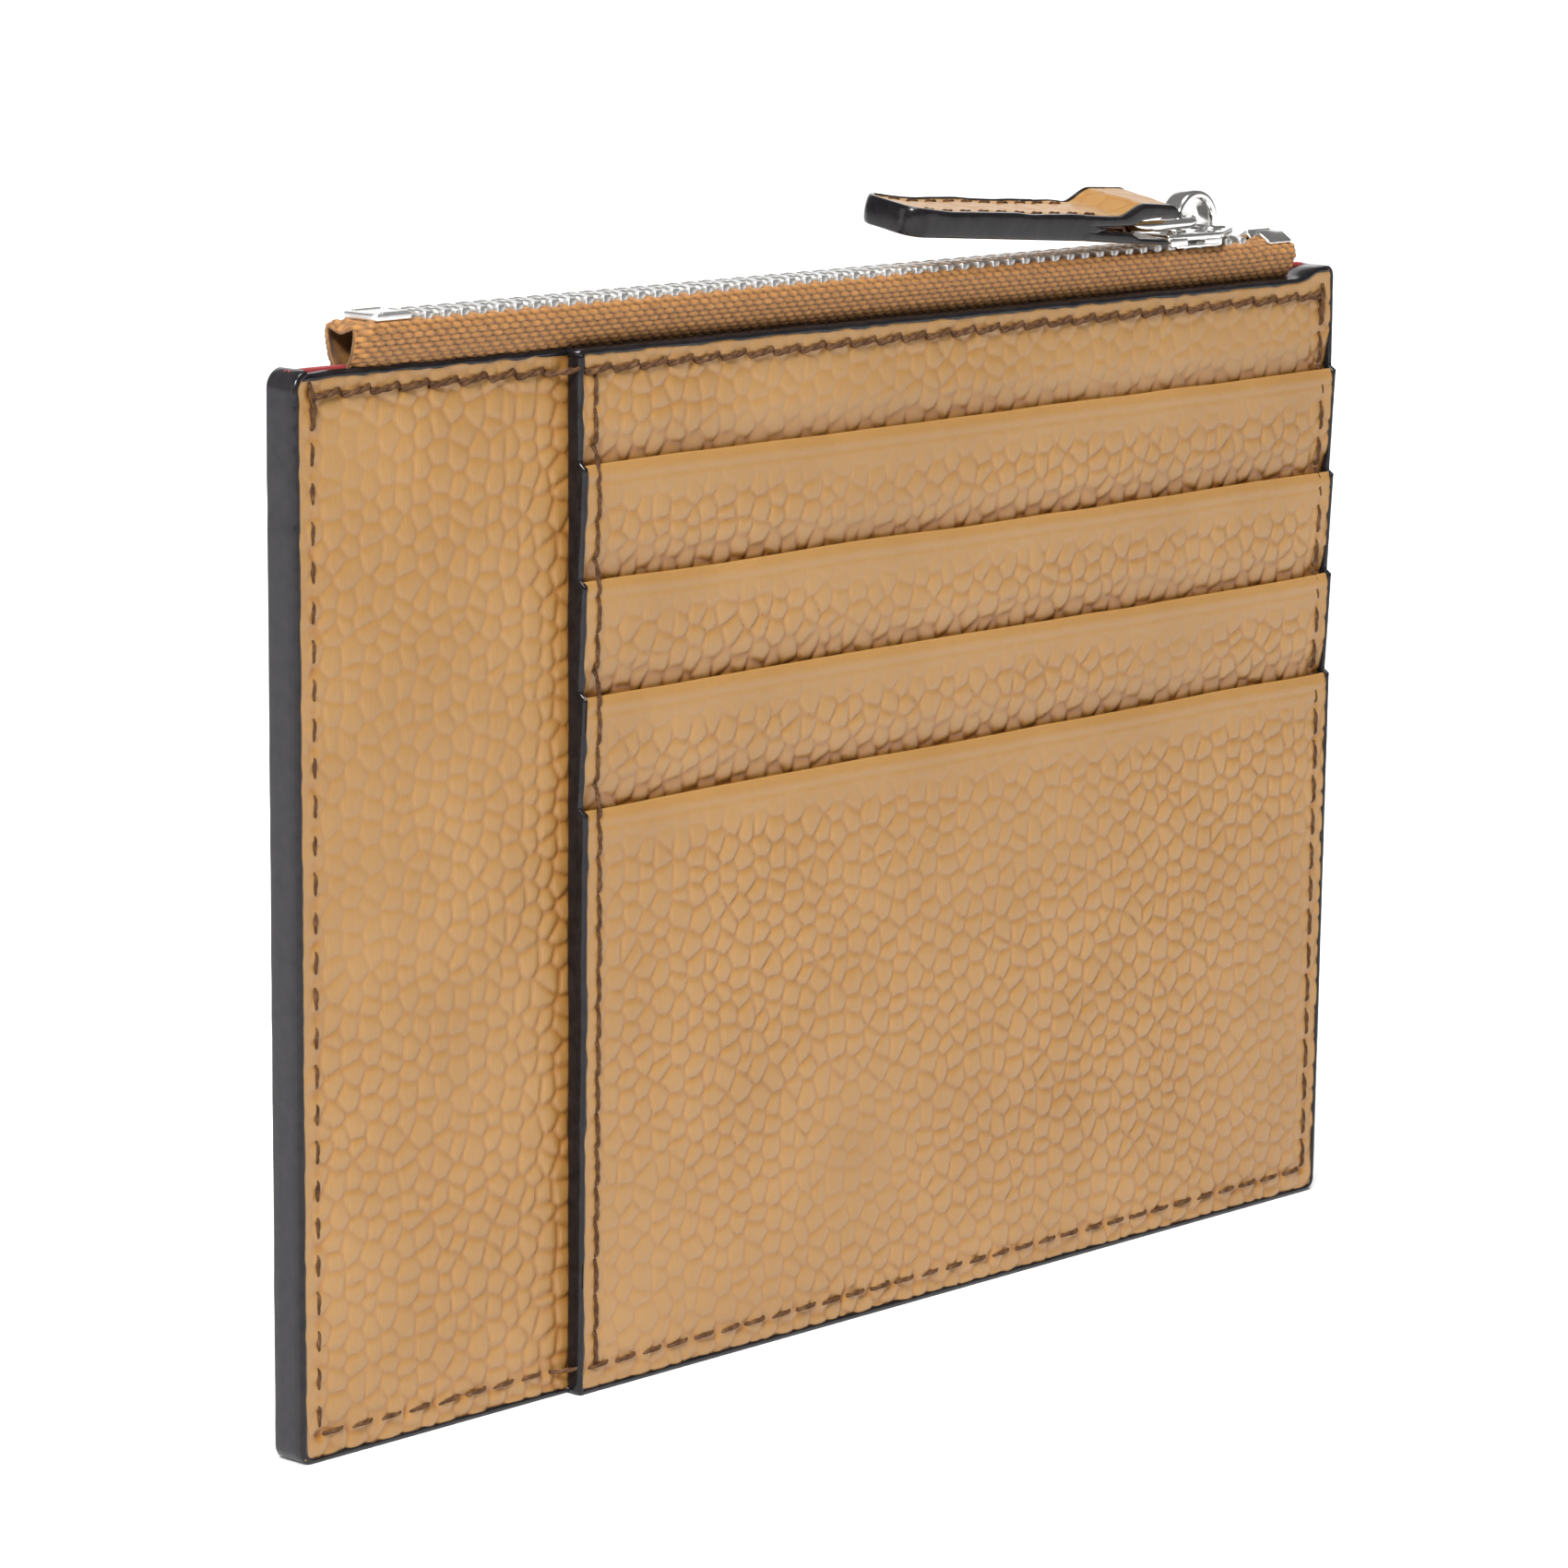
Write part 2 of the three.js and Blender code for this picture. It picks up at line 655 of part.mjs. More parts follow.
// The pull is drawn with the ring's bar at the origin and its free end towards -X, then tilted.
function buildPull() {
  const pull = new THREE.Group();
  pull.position.set(barX, 0, barLevel);
  pull.rotation.y = pullTilt;
  zipGroup.add(pull);

  const free = -pullLength;
  const halfWidth = pullWidth / 2;
  const plan = new THREE.Shape();
  const r = pullCorner;
  plan.moveTo(pullTip, -halfWidth);
  plan.lineTo(pullTip, halfWidth);
  plan.lineTo(free + r, halfWidth);
  plan.absarc(free + r, halfWidth - r, r, Math.PI / 2, Math.PI, false);
  plan.lineTo(free, -halfWidth + r);
  plan.absarc(free + r, -halfWidth + r, r, Math.PI, Math.PI * 1.5, false);
  const tall = 4; // half the height of the cutting shape
  const planSolid = solid(extrude(plan, 2 * tall).translate(0, 0, -tall));
  const leaf = (points) =>
    geometryOf(solid(alongY(polygon(points), -halfWidth - past, halfWidth + past)).intersect(planSolid));

  const body = gap / 2;
  const neck = tongueThickness + gap;
  const overRing = eyeRadius + tongueThickness + 0.05;
  const upper = [
    [free - past, body],
    [splitBack, body],
    [splitFront, neck],
    [splitEnd, neck],
    [-1.2, overRing - 0.1],
    [0.8, overRing],
    [2.4, overRing + 0.05],
    [3.3, 0.95],
    [pullTip, 1.4],
    [2.7, overRing + leafNeck - 0.15],
    [0.9, overRing + leafNeck],
    [-1.6, overRing + leafNeck - 0.1],
    [-3.6, neck + leafNeck],
    [splitBack, body + leafBody + 0.05],
    [free - past, body + leafBody],
  ];
  add("pull_upper_leaf", leaf(upper), grainLeather, pull);
  const lower = [
    [free - past, -body],
    [free - past, -body - leafBody],
    [splitBack, -body - leafBody - 0.05],
    [-3.4, -neck - leafNeck],
    [-1.4, -overRing - skivedLip],
    [1.4, -overRing - skivedLip],
    [2.1, -overRing - 0.15],
    [2.1, -overRing],
    [-1.2, -overRing + 0.05],
    [splitEnd, -neck],
    [splitFront, -neck],
    [splitBack, -body],
  ];
  add("pull_lower_leaf", leaf(lower), grainLeather, pull);

  const tongue = new THREE.Shape();
  const outer = eyeRadius + tongueThickness;
  const tail = tongueThickness;
  const meet = Math.asin(tail / outer);
  tongue.moveTo(tongueEnd, -tail);
  tongue.lineTo(-outer * Math.cos(meet), -tail);
  tongue.absarc(0, 0, outer, Math.PI + meet, Math.PI - meet, false);
  tongue.lineTo(tongueEnd, tail);
  const eye = new THREE.Path();
  eye.absarc(0, 0, eyeRadius, 0, Math.PI * 2, false);
  tongue.holes.push(eye);
  add("pull_tongue", alongY(tongue, -tongueWidth / 2, tongueWidth / 2, 0, 12), grainLeather, pull);

  const seamFrom = free + pullSeamFree;
  const seamLength = pullSeamEnd - seamFrom;
  const double = 2 * pullThread;
  const band = loopOutline(seamLength, pullSeamWidth, double, THREE.Shape);
  band.holes.push(loopOutline(seamLength - double, pullSeamWidth - double, pullThread, THREE.Path));
  const reach = neck + leafNeck + pullThreadLift;
  for (const [name, z] of [["top", reach], ["bottom", -reach - pullThreadHeight]]) {
    const loop = extrude(band, pullThreadHeight, 0, 8).translate(seamFrom + seamLength / 2, 0, z);
    add(`pull_thread_${name}`, loop, brownThread, pull);
  }
}

buildBody();
buildStack();
buildFrontThreads();
buildZip();
buildSlider();
buildRing();
buildPull();

// The origin is under the middle of everything, from the seam on the stack's face to the pull's edge.
const frontReach = stackFront + slotStep + gap + threadHeight;
pouch.position.y = (frontReach - pullWidth / 2) / 2;

export default pouch;
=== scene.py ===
import json
import math

import bmesh
import bpy
import numpy as np
from mathutils import Matrix, Vector


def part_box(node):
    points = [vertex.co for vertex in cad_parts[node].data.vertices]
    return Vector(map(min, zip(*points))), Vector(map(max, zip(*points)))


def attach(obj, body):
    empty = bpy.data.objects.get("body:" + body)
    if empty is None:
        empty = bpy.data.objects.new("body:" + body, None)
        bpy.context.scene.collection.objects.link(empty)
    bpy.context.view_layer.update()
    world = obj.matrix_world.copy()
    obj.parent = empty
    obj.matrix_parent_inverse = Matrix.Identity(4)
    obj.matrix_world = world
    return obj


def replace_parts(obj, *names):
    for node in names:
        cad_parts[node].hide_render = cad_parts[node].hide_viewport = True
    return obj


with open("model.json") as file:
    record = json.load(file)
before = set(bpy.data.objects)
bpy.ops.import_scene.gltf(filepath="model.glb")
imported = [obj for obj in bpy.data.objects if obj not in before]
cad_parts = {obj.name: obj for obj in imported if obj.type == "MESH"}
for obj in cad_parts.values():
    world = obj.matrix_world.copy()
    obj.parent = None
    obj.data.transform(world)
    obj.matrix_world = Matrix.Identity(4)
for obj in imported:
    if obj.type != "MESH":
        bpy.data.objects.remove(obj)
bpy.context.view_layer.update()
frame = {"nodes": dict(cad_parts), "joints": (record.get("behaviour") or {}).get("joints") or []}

# Everything below is worked out in millimetres and turned into metres when a mesh is made.
perMetre = 1000
millimetre = 0.001


def boxOf(node):
    low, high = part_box(node)
    return np.array(low) * perMetre, np.array(high) * perMetre


bodyLow, bodyHigh = boxOf("edge_coat")
stackLow = boxOf("stack_edge_coat")[0]
midY = (bodyLow[1] + bodyHigh[1]) / 2
travel = next(j for j in frame["joints"] if j["name"] == "slider_travel")["axis"]
zipDrop = -travel[2] / travel[0]  # the zip and the top edges drop this much for each millimetre along X
topAtMiddle = boxOf("front_lining")[1][2] - 0.15 - zipDrop * boxOf("front_lining")[1][0]
slotTops = [boxOf(f"card_pocket_{i}")[1][2] for i in (1, 2, 3, 4)]
fine = 0.23  # spacing of the points that carry the leather's grain


def topEdge(x):
    return topAtMiddle - zipDrop * x


def makePiece(name, points, faces, body, slotName, material, relief=None, smooth=True):
    mesh = bpy.data.meshes.new(name)
    mesh.from_pydata((np.asarray(points) * millimetre).tolist(), [], [list(map(int, f)) for f in faces])
    mesh.validate()
    if relief is not None:
        layer = mesh.attributes.new("relief", "FLOAT", "POINT")
        layer.data.foreach_set("value", np.asarray(relief, dtype=np.float32))
    mesh.polygons.foreach_set("use_smooth", [smooth] * len(mesh.polygons))
    mesh.materials.append(material)
    piece = bpy.data.objects.new(name, mesh)
    bpy.context.scene.collection.objects.link(piece)
    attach(piece, body)
    return piece


# Faces of a skin through rows of points, one section in each row. Closed sections join up and are capped.
def skinFaces(rows, columns, closed=True):
    i, j = np.meshgrid(np.arange(rows - 1), np.arange(columns if closed else columns - 1), indexing="ij")
    following = (j + 1) % columns
    corners = np.stack(
        [i * columns + j, i * columns + following, (i + 1) * columns + following, (i + 1) * columns + j], -1
    )
    faces = corners.reshape(-1, 4).tolist()
    if closed:
        faces.append(list(range(columns))[::-1])
        faces.append(list(range((rows - 1) * columns, rows * columns)))
    return faces


def flipped(faces):
    return [face[::-1] for face in faces]


# The points and faces of a skin through closed sections.
def skinOf(sections):
    sections = np.array(sections, dtype=float)
    return sections.reshape(-1, 3), skinFaces(*sections.shape[:2])


# Joins several skins into one set of points and faces.
class Collector:
    def __init__(self):
        self.points = []
        self.faces = []
        self.count = 0

    def add(self, points, faces):
        self.points.append(np.asarray(points, dtype=float))
        self.faces.extend([[k + self.count for k in face] for face in faces])
        self.count += len(points)

    def all(self):
        return np.concatenate(self.points), self.faces


# Circles of radius 1 on two crossing directions, one for each point of a line.
def circles(side, up, sides):
    turn = np.linspace(0, 2 * math.pi, sides, endpoint=False)
    return np.cos(turn)[None, :, None] * side[:, None] + np.sin(turn)[None, :, None] * up[:, None]


# A round tube through a line of points, with its radius at each point.
def tube(line, radii, sides):
    line = np.asarray(line, dtype=float)
    radii = np.broadcast_to(radii, len(line))
    ahead = np.gradient(line, axis=0)
    ahead /= np.linalg.norm(ahead, axis=1)[:, None]
    side = np.cross(ahead, [0.0, 0.37, 0.93])
    side /= np.linalg.norm(side, axis=1)[:, None]
    up = np.cross(side, ahead)
    points = line[:, None] + circles(side, up, sides) * radii[:, None, None]
    return points.reshape(-1, 3), skinFaces(len(line), sides)


def smoothStep(value, low, high):
    t = np.clip((value - low) / (high - low), 0, 1)
    return t * t * (3 - 2 * t)


# A hump of height 1 round zero.
def hump(value, width):
    return np.exp(-(value / width) ** 2)


# Smooth random height over a plane, made of value noise on a square lattice.
def softNoise(a, b, size, seed):
    table = np.random.default_rng(seed).random((64, 64)) * 2 - 1
    a, b = np.broadcast_arrays(np.asarray(a, float) / size, np.asarray(b, float) / size)
    ia, ib = np.floor(a).astype(int), np.floor(b).astype(int)
    fa, fb = smoothStep(a - ia, 0, 1), smoothStep(b - ib, 0, 1)

    def at(da, db):
        return table[(ia + da) % 64, (ib + db) % 64]

    low = at(0, 0) * (1 - fa) + at(1, 0) * fa
    high = at(0, 1) * (1 - fa) + at(1, 1) * fa
    return low * (1 - fb) + high * fb


grain = {
    "width": 2.0,  # of one scale
    "height": 2.05,
    "stray": 0.62,  # how far a scale's middle strays, as a share of its size
    "weight": 0.75,  # how unequal the scales are, square millimetres
    "crease": 0.17,  # width of the valley round each scale
    "depth": 0.21,
    "corner": 9.0,  # a higher number gives sharper corners
    "overlap": 0.42,  # a scale stands higher at its lower side
    "soft": 0.3,  # how far the valley at a scale's upper side is filled
}


# Height of the pebble grain above its valleys, from 0 to about 1, at points of a plane.
def scaleHeight(a, b, seed, crease=grain["crease"]):
    rng = np.random.default_rng(seed)
    jitter = rng.random((64, 64, 3))
    shape = np.shape(a)
    a, b = np.ravel(a).astype(float), np.ravel(b).astype(float)
    a = a + 0.25 * softNoise(a, b, 5, seed + 1)
    b = b + 0.25 * softNoise(a, b, 5, seed + 2)
    column = np.floor(a / grain["width"]).astype(int)
    row = np.floor(b / grain["height"]).astype(int)
    middles = []
    for i in range(-2, 3):
        for j in range(-2, 3):
            ci, rj = column + i, row + j
            wild = jitter[ci % 64, rj % 64]
            u = (ci + 0.5 + grain["stray"] * (wild[:, 0] - 0.5)) * grain["width"]
            v = (rj + 0.5 + 0.5 * (ci % 2) + grain["stray"] * (wild[:, 1] - 0.5)) * grain["height"]
            middles.append((u, v, grain["weight"] * wild[:, 2]))
    power = np.stack([(a - u) ** 2 + (b - v) ** 2 - w for u, v, w in middles])
    mine = np.argmin(power, axis=0)
    pick = np.arange(len(a))
    us, vs = (np.stack([m[k] for m in middles]) for k in range(2))
    u0, v0, p0 = us[mine, pick], vs[mine, pick], power[mine, pick]
    total = np.zeros(len(a))
    for k in range(len(middles)):
        apart = np.hypot(us[k] - u0, vs[k] - v0)
        far = apart < 1e-6
        edge = (power[k] - p0) / (2 * np.where(far, 1, apart))
        total += np.where(far, 0, np.exp(-grain["corner"] * edge))
    border = np.maximum(-np.log(np.maximum(total, 1e-9)) / grain["corner"], 0)
    pad = 1 - np.exp(-((border / crease) ** 1.4))
    dome = np.clip(border / 0.9, 0, 1) * 0.3
    below = np.clip((v0 - b) / grain["height"], -0.6, 0.6)
    pad = np.maximum(pad, grain["soft"] * smoothStep(-below, 0.12, 0.42))
    return (pad * (0.8 + grain["overlap"] * below) + dome).reshape(shape)


# A procedural material whose patterns count in millimetres.
class Finish:
    def __init__(self, name):
        self.material = bpy.data.materials.new(name)
        self.material.use_nodes = True
        self.nodes = self.material.node_tree.nodes
        self.links = self.material.node_tree.links
        self.shader = self.nodes["Principled BSDF"]
        self.plain = self.coordinates((1, 1, 1))

    # Gives a node its fixed inputs and the outputs that feed its other inputs.
    def fill(self, node, fixed, fed):
        for key, value in fixed.items():
            node.inputs[key].default_value = value
        for key, source in fed.items():
            self.links.new(source, node.inputs[key])
        return node

    def node(self, kind, fixed, fed):
        return self.fill(self.nodes.new("ShaderNode" + kind), fixed, fed)

    def coordinates(self, stretch):
        place = self.node("TexCoord", {}, {}).outputs["Object"]
        scale = [s * perMetre for s in stretch]
        return self.node("Mapping", {"Scale": scale}, {"Vector": place}).outputs["Vector"]

    def noise(self, scale, detail=3.0, rough=0.5, stretch=None):
        vector = self.plain if stretch is None else self.coordinates(stretch)
        fixed = {"Scale": scale, "Detail": detail, "Roughness": rough}
        return self.node("TexNoise", fixed, {"Vector": vector}).outputs["Fac"]

    # The painted shade, highlight or reflection that a piece carries at its points.
    def relief(self):
        node = self.node("Attribute", {}, {})
        node.attribute_name = "relief"
        return node.outputs["Fac"]

    def ramp(self, value, stops):
        node = self.node("ValToRGB", {}, {"Fac": value})
        elements = node.color_ramp.elements
        for k, (position, colour) in enumerate((stops[0], stops[-1])):
            elements[k].position = position
            elements[k].color = (*colour, 1)
        for position, colour in stops[1:-1]:
            elements.new(position).color = (*colour, 1)
        return node.outputs["Color"]

    # Two colours multiplied or added. The numbers are the colour sockets.
    def mix(self, blend, first, second):
        node = self.nodes.new("ShaderNodeMix")
        node.data_type = "RGBA"
        node.blend_type = blend
        return self.fill(node, {"Factor": 1}, {6: first, 7: second}).outputs[2]

    def range(self, value, low, high):
        return self.node("MapRange", {"To Min": low, "To Max": high}, {"Value": value}).outputs["Result"]

    def bump(self, height, strength, distance):
        fixed = {"Strength": strength, "Distance": distance * millimetre}
        return self.node("Bump", fixed, {"Height": height}).outputs["Normal"]

    # The finished material.
    def surface(self, colour, roughness, normal, fixed):
        self.fill(self.shader, fixed, {"Base Color": colour, "Roughness": roughness, "Normal": normal})
        return self.material


# Tan leather whose grain is in the mesh: the valleys are duller and darker from painted shade, which also
# darkens the bands over slot edges and the needle holes, and fine hair lines run down it.
def tanLeather():
    look = Finish("tanLeather")
    tone = look.ramp(look.noise(0.09, 4), [
        (0.3, (0.274, 0.141, 0.0387)),
        (0.52, (0.292, 0.153, 0.0442)),
        (0.72, (0.31, 0.165, 0.0506)),
    ])
    # painted shade: darker, warmer colour where the relief attribute is low
    paintedShade = look.ramp(look.relief(), [
        (0.0, (0.66, 0.4, 0.2)),
        (0.4, (0.93, 0.78, 0.58)),
        (0.8, (1, 1, 1)),
    ])
    pores = look.range(look.noise(3.5, 3, 0.6), 0.3, 0.44)
    hair = look.bump(look.noise(1.0, 2, stretch=(5, 5, 0.45)), 0.4, 0.07)
    fixed = {"Specular IOR Level": 0.45, "Coat Weight": 0.12, "Coat Roughness": 0.25}
    return look.surface(look.mix("MULTIPLY", tone, paintedShade), pores, hair, fixed)


# Thick glossy paint on cut edges, with small pits and a painted reflection that greys the flat of the edge.
def edgePaint():
    look = Finish("edgePaint")
    black = look.ramp(look.noise(0.8, 4), [(0.35, (0.006, 0.005, 0.006)), (0.7, (0.012, 0.01, 0.011))])
    # painted reflection: the flat of the edge is lighter grey where the relief attribute is high
    paintedReflection = look.ramp(look.relief(), [(0.0, (0, 0, 0)), (1.0, (0.008, 0.008, 0.009))])
    gloss = look.range(look.noise(2.5, 3), 0.1, 0.3)
    pits = look.bump(look.noise(1.3, 3), 0.25, 0.12)
    fixed = {"Specular IOR Level": 0.2, "Coat Weight": 0.08, "Coat Roughness": 0.08}
    return look.surface(look.mix("ADD", black, paintedReflection), gloss, pits, fixed)


def brownThread():
    look = Finish("brownThread")
    tone = look.ramp(look.noise(1.6, 4), [
        (0.3, (0.045, 0.02, 0.009)),
        (0.55, (0.085, 0.04, 0.018)),
        (0.78, (0.15, 0.08, 0.04)),
    ])
    fibres = look.noise(1.0, 2, stretch=(9, 9, 9))
    fixed = {"Specular IOR Level": 0.1}
    return look.surface(tone, look.range(fibres, 0.45, 0.75), look.bump(fibres, 0.5, 0.04), fixed)


def goldenTape():
    look = Finish("goldenTape")
    tone = look.ramp(look.noise(1.4, 3), [(0.3, (0.21, 0.088, 0.017)), (0.7, (0.32, 0.145, 0.033))])
    # painted shade in the gaps of the weave and painted highlight on the beads' tops, from the relief
    # attribute
    paintedShadeAndHighlight = look.ramp(look.relief(), [
        (0.0, (0.2, 0.14, 0.09)),
        (0.6, (0.9, 0.9, 0.9)),
        (1.0, (1.2, 1.15, 1.0)),
    ])
    fibres = look.noise(1.0, 3, stretch=(2.5, 8, 8))
    rough, normal = look.range(fibres, 0.5, 0.8), look.bump(fibres, 0.5, 0.05)
    return look.surface(look.mix("MULTIPLY", tone, paintedShadeAndHighlight), rough, normal, {"Sheen Weight": 0.1})


def weaveCloth(name, dark, light):
    pitch = 0.35  # of the threads
    look = Finish(name)
    checker = look.node("TexChecker", {"Scale": 1 / pitch}, {"Vector": look.plain})
    threads = look.node("TexWave", {"Scale": 0.5 / pitch, "Distortion": 0.6}, {"Vector": look.plain})
    colour = look.ramp(threads.outputs["Fac"], [(0.1, dark), (0.8, light)])
    dull = look.range(look.noise(2, 2), 0.7, 0.9)
    return look.surface(colour, dull, look.bump(checker.outputs["Fac"], 0.4, 0.06), {"Sheen Weight": 0.2})


def polishedSteel():
    look = Finish("polishedSteel")
    tone = look.ramp(look.noise(0.7, 3), [(0.35, (0.7, 0.69, 0.67)), (0.7, (0.82, 0.81, 0.79))])
    rough = look.range(look.noise(2.2, 4), 0.09, 0.22)
    return look.surface(tone, rough, look.bump(look.noise(1.5, 2), 0.06, 0.1), {"Metallic": 1.0})


def satinSteel():
    look = Finish("satinSteel")
    tone = look.ramp(look.noise(1.1, 3), [(0.35, (0.72, 0.71, 0.69)), (0.7, (0.86, 0.85, 0.83))])
    rough = look.range(look.noise(3, 4), 0.27, 0.4)
    return look.surface(tone, rough, look.bump(look.noise(1.6, 2), 0.06, 0.05), {"Metallic": 1.0})


# A dull material that only has a colour.
def dullFinish(name, grainSize, detail, stops):
    look = Finish(name)
    colour = look.ramp(look.noise(grainSize, detail), stops)
    look.fill(look.shader, {"Roughness": 0.9}, {"Base Color": colour})
    return look.material


print("materials")
leather = tanLeather()
paint = edgePaint()
thread = brownThread()
tape = goldenTape()
redCloth = weaveCloth("redLining", (0.28, 0.012, 0.016), (0.5, 0.03, 0.035))
tanCloth = weaveCloth("pocketCloth", (0.3, 0.15, 0.045), (0.46, 0.25, 0.09))
steel = polishedSteel()
satin = satinSteel()
board = dullFinish("fibreBoard", 1.2, 5, [(0.3, (0.2, 0.14, 0.09)), (0.7, (0.34, 0.26, 0.18))])

seam = {
    "pitch": 3.2,
    "inset": 1.9,  # from the left, right and bottom edges
    "top": 1.75,  # under the top edge
    "stackInset": 1.9,  # from the pocket stack's open side
    "hole": 0.32,  # size of a needle hole
    "press": 0.05,  # how far the sewing pulls the leather in
}
leftSeam = bodyLow[0] + seam["inset"]
rightSeam = bodyHigh[0] - seam["inset"]
bottomSeam = bodyLow[2] + seam["inset"] + 0.4
stackLeft = stackLow[0]
stackSeam = stackLeft + seam["stackInset"]


# Evenly spaced needle holes from one end of a line to the other.
def holesAlong(start, end):
    start, end = np.array(start, float), np.array(end, float)
    count = max(2, round(np.linalg.norm(end - start) / seam["pitch"]))
    return [start + (end - start) * k / count for k in range(count + 1)]


def topSeamAt(x):
    return topEdge(x) - seam["top"]


bottomHoles = holesAlong((leftSeam, bottomSeam), (rightSeam, bottomSeam))
leftHoles = holesAlong((leftSeam, bottomSeam), (leftSeam, topSeamAt(leftSeam)))
rightHoles = holesAlong((rightSeam, bottomSeam), (rightSeam, topSeamAt(rightSeam)))
topHoles = holesAlong((leftSeam, topSeamAt(leftSeam)), (rightSeam, topSeamAt(rightSeam)))
stackHoles = holesAlong((stackSeam, bottomSeam), (stackSeam, topSeamAt(stackSeam)))
rimHoles = bottomHoles + leftHoles + rightHoles + topHoles


# How far the sewing draws the leather in, at points of a plane.
def sewnIn(a, b, holes):
    drawn = np.zeros(np.shape(a))
    for hu, hv in holes:
        near = (np.abs(a - hu) < 2.2) & (np.abs(b - hv) < 2.2)
        if not near.any():
            continue
        away = (a[near] - hu) ** 2 + (b[near] - hv) ** 2
        drawn[near] += 0.13 * np.exp(-away / (2 * seam["hole"] ** 2)) + seam["press"] * np.exp(-away / 1.6)
    return drawn


# How much a panel's top drops at its rounded corners, inside the painted edge's own corner.
def roundedCorner(x):
    outer, inner = 1.6, 1.3  # radii of the painted corner and of the leather in it
    away = np.clip(outer - np.minimum(x - bodyLow[0], bodyHigh[0] - x), 0, inner)
    return np.clip(1.0 - np.sqrt(inner * inner - away * away), 0, None)


# The panels' top edge curls up towards the right corner.
def earRise(x):
    return 0.95 * smoothStep(x, bodyHigh[0] - 5.5, bodyHigh[0] - 2)


def noShadow(x, z):
    return np.zeros(np.shape(x))


# A painted shadow: a band of darker leather over the edge at the given height.
def paintedShadowOver(edge):
    reach = 3.2

    def shadow(x, z):
        return smoothStep(edge + reach - z, 0, reach) ** 2

    return shadow


facing = {
    "level": 0.9,  # the part of the grain's height that lies inside the face
    "hills": 0.045,  # how much the whole face rises and falls
    "hillSize": 9,
    "valleyShade": 0.55,
    "edgeShade": 0.45,
    "holeShade": 2.5,
    "foldSteps": 9,
}


# Painted shade of the leather at its points, darker in the grain's valleys, before the painted shade of edges
# and holes.
def valleyShade(height, carry):
    return 1 + facing["valleyShade"] * (np.minimum(height, 1) - 1) * np.clip(carry, 0, 1)


# A leather layer. faceLine runs down its outer face, and top says how its upper edge rises and falls along X.
def leatherStrip(name, node, xs, faceLine, thick, grainCarry, holes, seed, rounding, top, shadow):
    face = np.asarray(faceLine, dtype=float)
    zs = face[:, 1]
    downs = len(face)
    turn = np.linspace(0, math.pi, facing["foldSteps"])[1:]
    columns = downs + len(turn) + 1
    points = np.zeros((len(xs), columns, 3))
    relief = np.ones((len(xs), columns))
    slope = np.gradient(face, axis=0)
    slope /= np.linalg.norm(slope, axis=1)[:, None]
    outward = np.stack([slope[:, 1], -slope[:, 0]], 1)  # towards -Y on a face that runs down
    xGrid, zGrid = np.meshgrid(xs, zs, indexing="ij")
    zGrid = zGrid + top(xs)[:, None] * np.linspace(1, 0, downs)[None]
    height = scaleHeight(xGrid, zGrid, seed)
    carry = grainCarry(xGrid, zGrid)
    hills = facing["hills"] * softNoise(xGrid, zGrid, facing["hillSize"], seed + 5)
    drawn = sewnIn(xGrid, zGrid, holes)
    lift = grain["depth"] * (height - facing["level"]) * carry + hills * np.minimum(carry, 1)
    lift -= drawn
    points[:, :downs, 0] = xGrid
    points[:, :downs, 1] = face[None, :, 0] + outward[None, :, 0] * lift
    points[:, :downs, 2] = zGrid + outward[None, :, 1] * lift
    shade = np.clip(valleyShade(height, carry), 0, 1) - facing["edgeShade"] * shadow(xGrid, zGrid)
    relief[:, :downs] = shade - facing["holeShade"] * drawn
    # over the folded top edge and down behind
    radius = thick / 2
    for k, t in enumerate(turn):
        points[:, downs + k, 0] = xs
        points[:, downs + k, 1] = points[:, 0, 1] + radius - radius * math.cos(t)
        points[:, downs + k, 2] = points[:, 0, 2] + rounding * math.sin(t)
    points[:, -1, 0] = xs
    points[:, -1, 1] = face[-1, 0] + thick
    points[:, -1, 2] = zs[-1]
    # order each section as a loop: face from its foot up, over the top, down the back
    order = list(range(downs - 1, -1, -1)) + list(range(downs, columns))
    points = points[:, order].reshape(-1, 3)
    relief = relief[:, order].reshape(-1)
    piece = makePiece(name, points, skinFaces(len(xs), columns), "pouch", "grain_leather", leather, relief)
    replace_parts(piece, node)


pocket = {
    "fold": 0.34,  # how far a turned edge is rounded
    "flat": 1.3,  # smooth band under a slot's edge
    "fade": 4.5,  # the grain is back in full this far under it
    "leather": 0.46,
    "dip": 0.5,  # how far the leather is pressed in just over the next slot
    "dipReach": 3.2,
    "tuck": 2.5,  # how far a pocket runs on under the next slot's edge
    "crease": 1.15,  # under the folded edge
}
panel = {
    "thick": 0.9,
    "lap": 0.3,  # the leather stops this far inside the painted edges
    "foot": 0.32,
    "under": 0.35,  # how far the leather stays under the top edge
    "rounding": 0.1,
}
stackFace = boxOf("header_strip")[0][1]  # the header's front
slotStep = stackFace - boxOf("card_pocket_1")[0][1]
faceRight = bodyHigh[0] - 0.34
stackXs = np.arange(stackLeft + 0.25, faceRight + fine / 2, fine)


# Grain is pressed flat under the folded edge and strong again further down.
def carryBelow(top):
    weakest, strongest = 0.12, 1.15

    def carry(x, z):
        down = top - z
        wear = 0.85 + 0.25 * softNoise(x, z, 14, 31)
        pressed = 1 - 0.45 * hump(rightSeam - x, 1.5) - 0.45 * hump(stackSeam - x, 1.5)
        edge = smoothStep(x, stackLeft, stackSeam + 1) * 0.5 + 0.5
        share = weakest + (strongest - weakest) * smoothStep(down, pocket["flat"], pocket["fade"])
        return share * wear * pressed * edge

    return carry


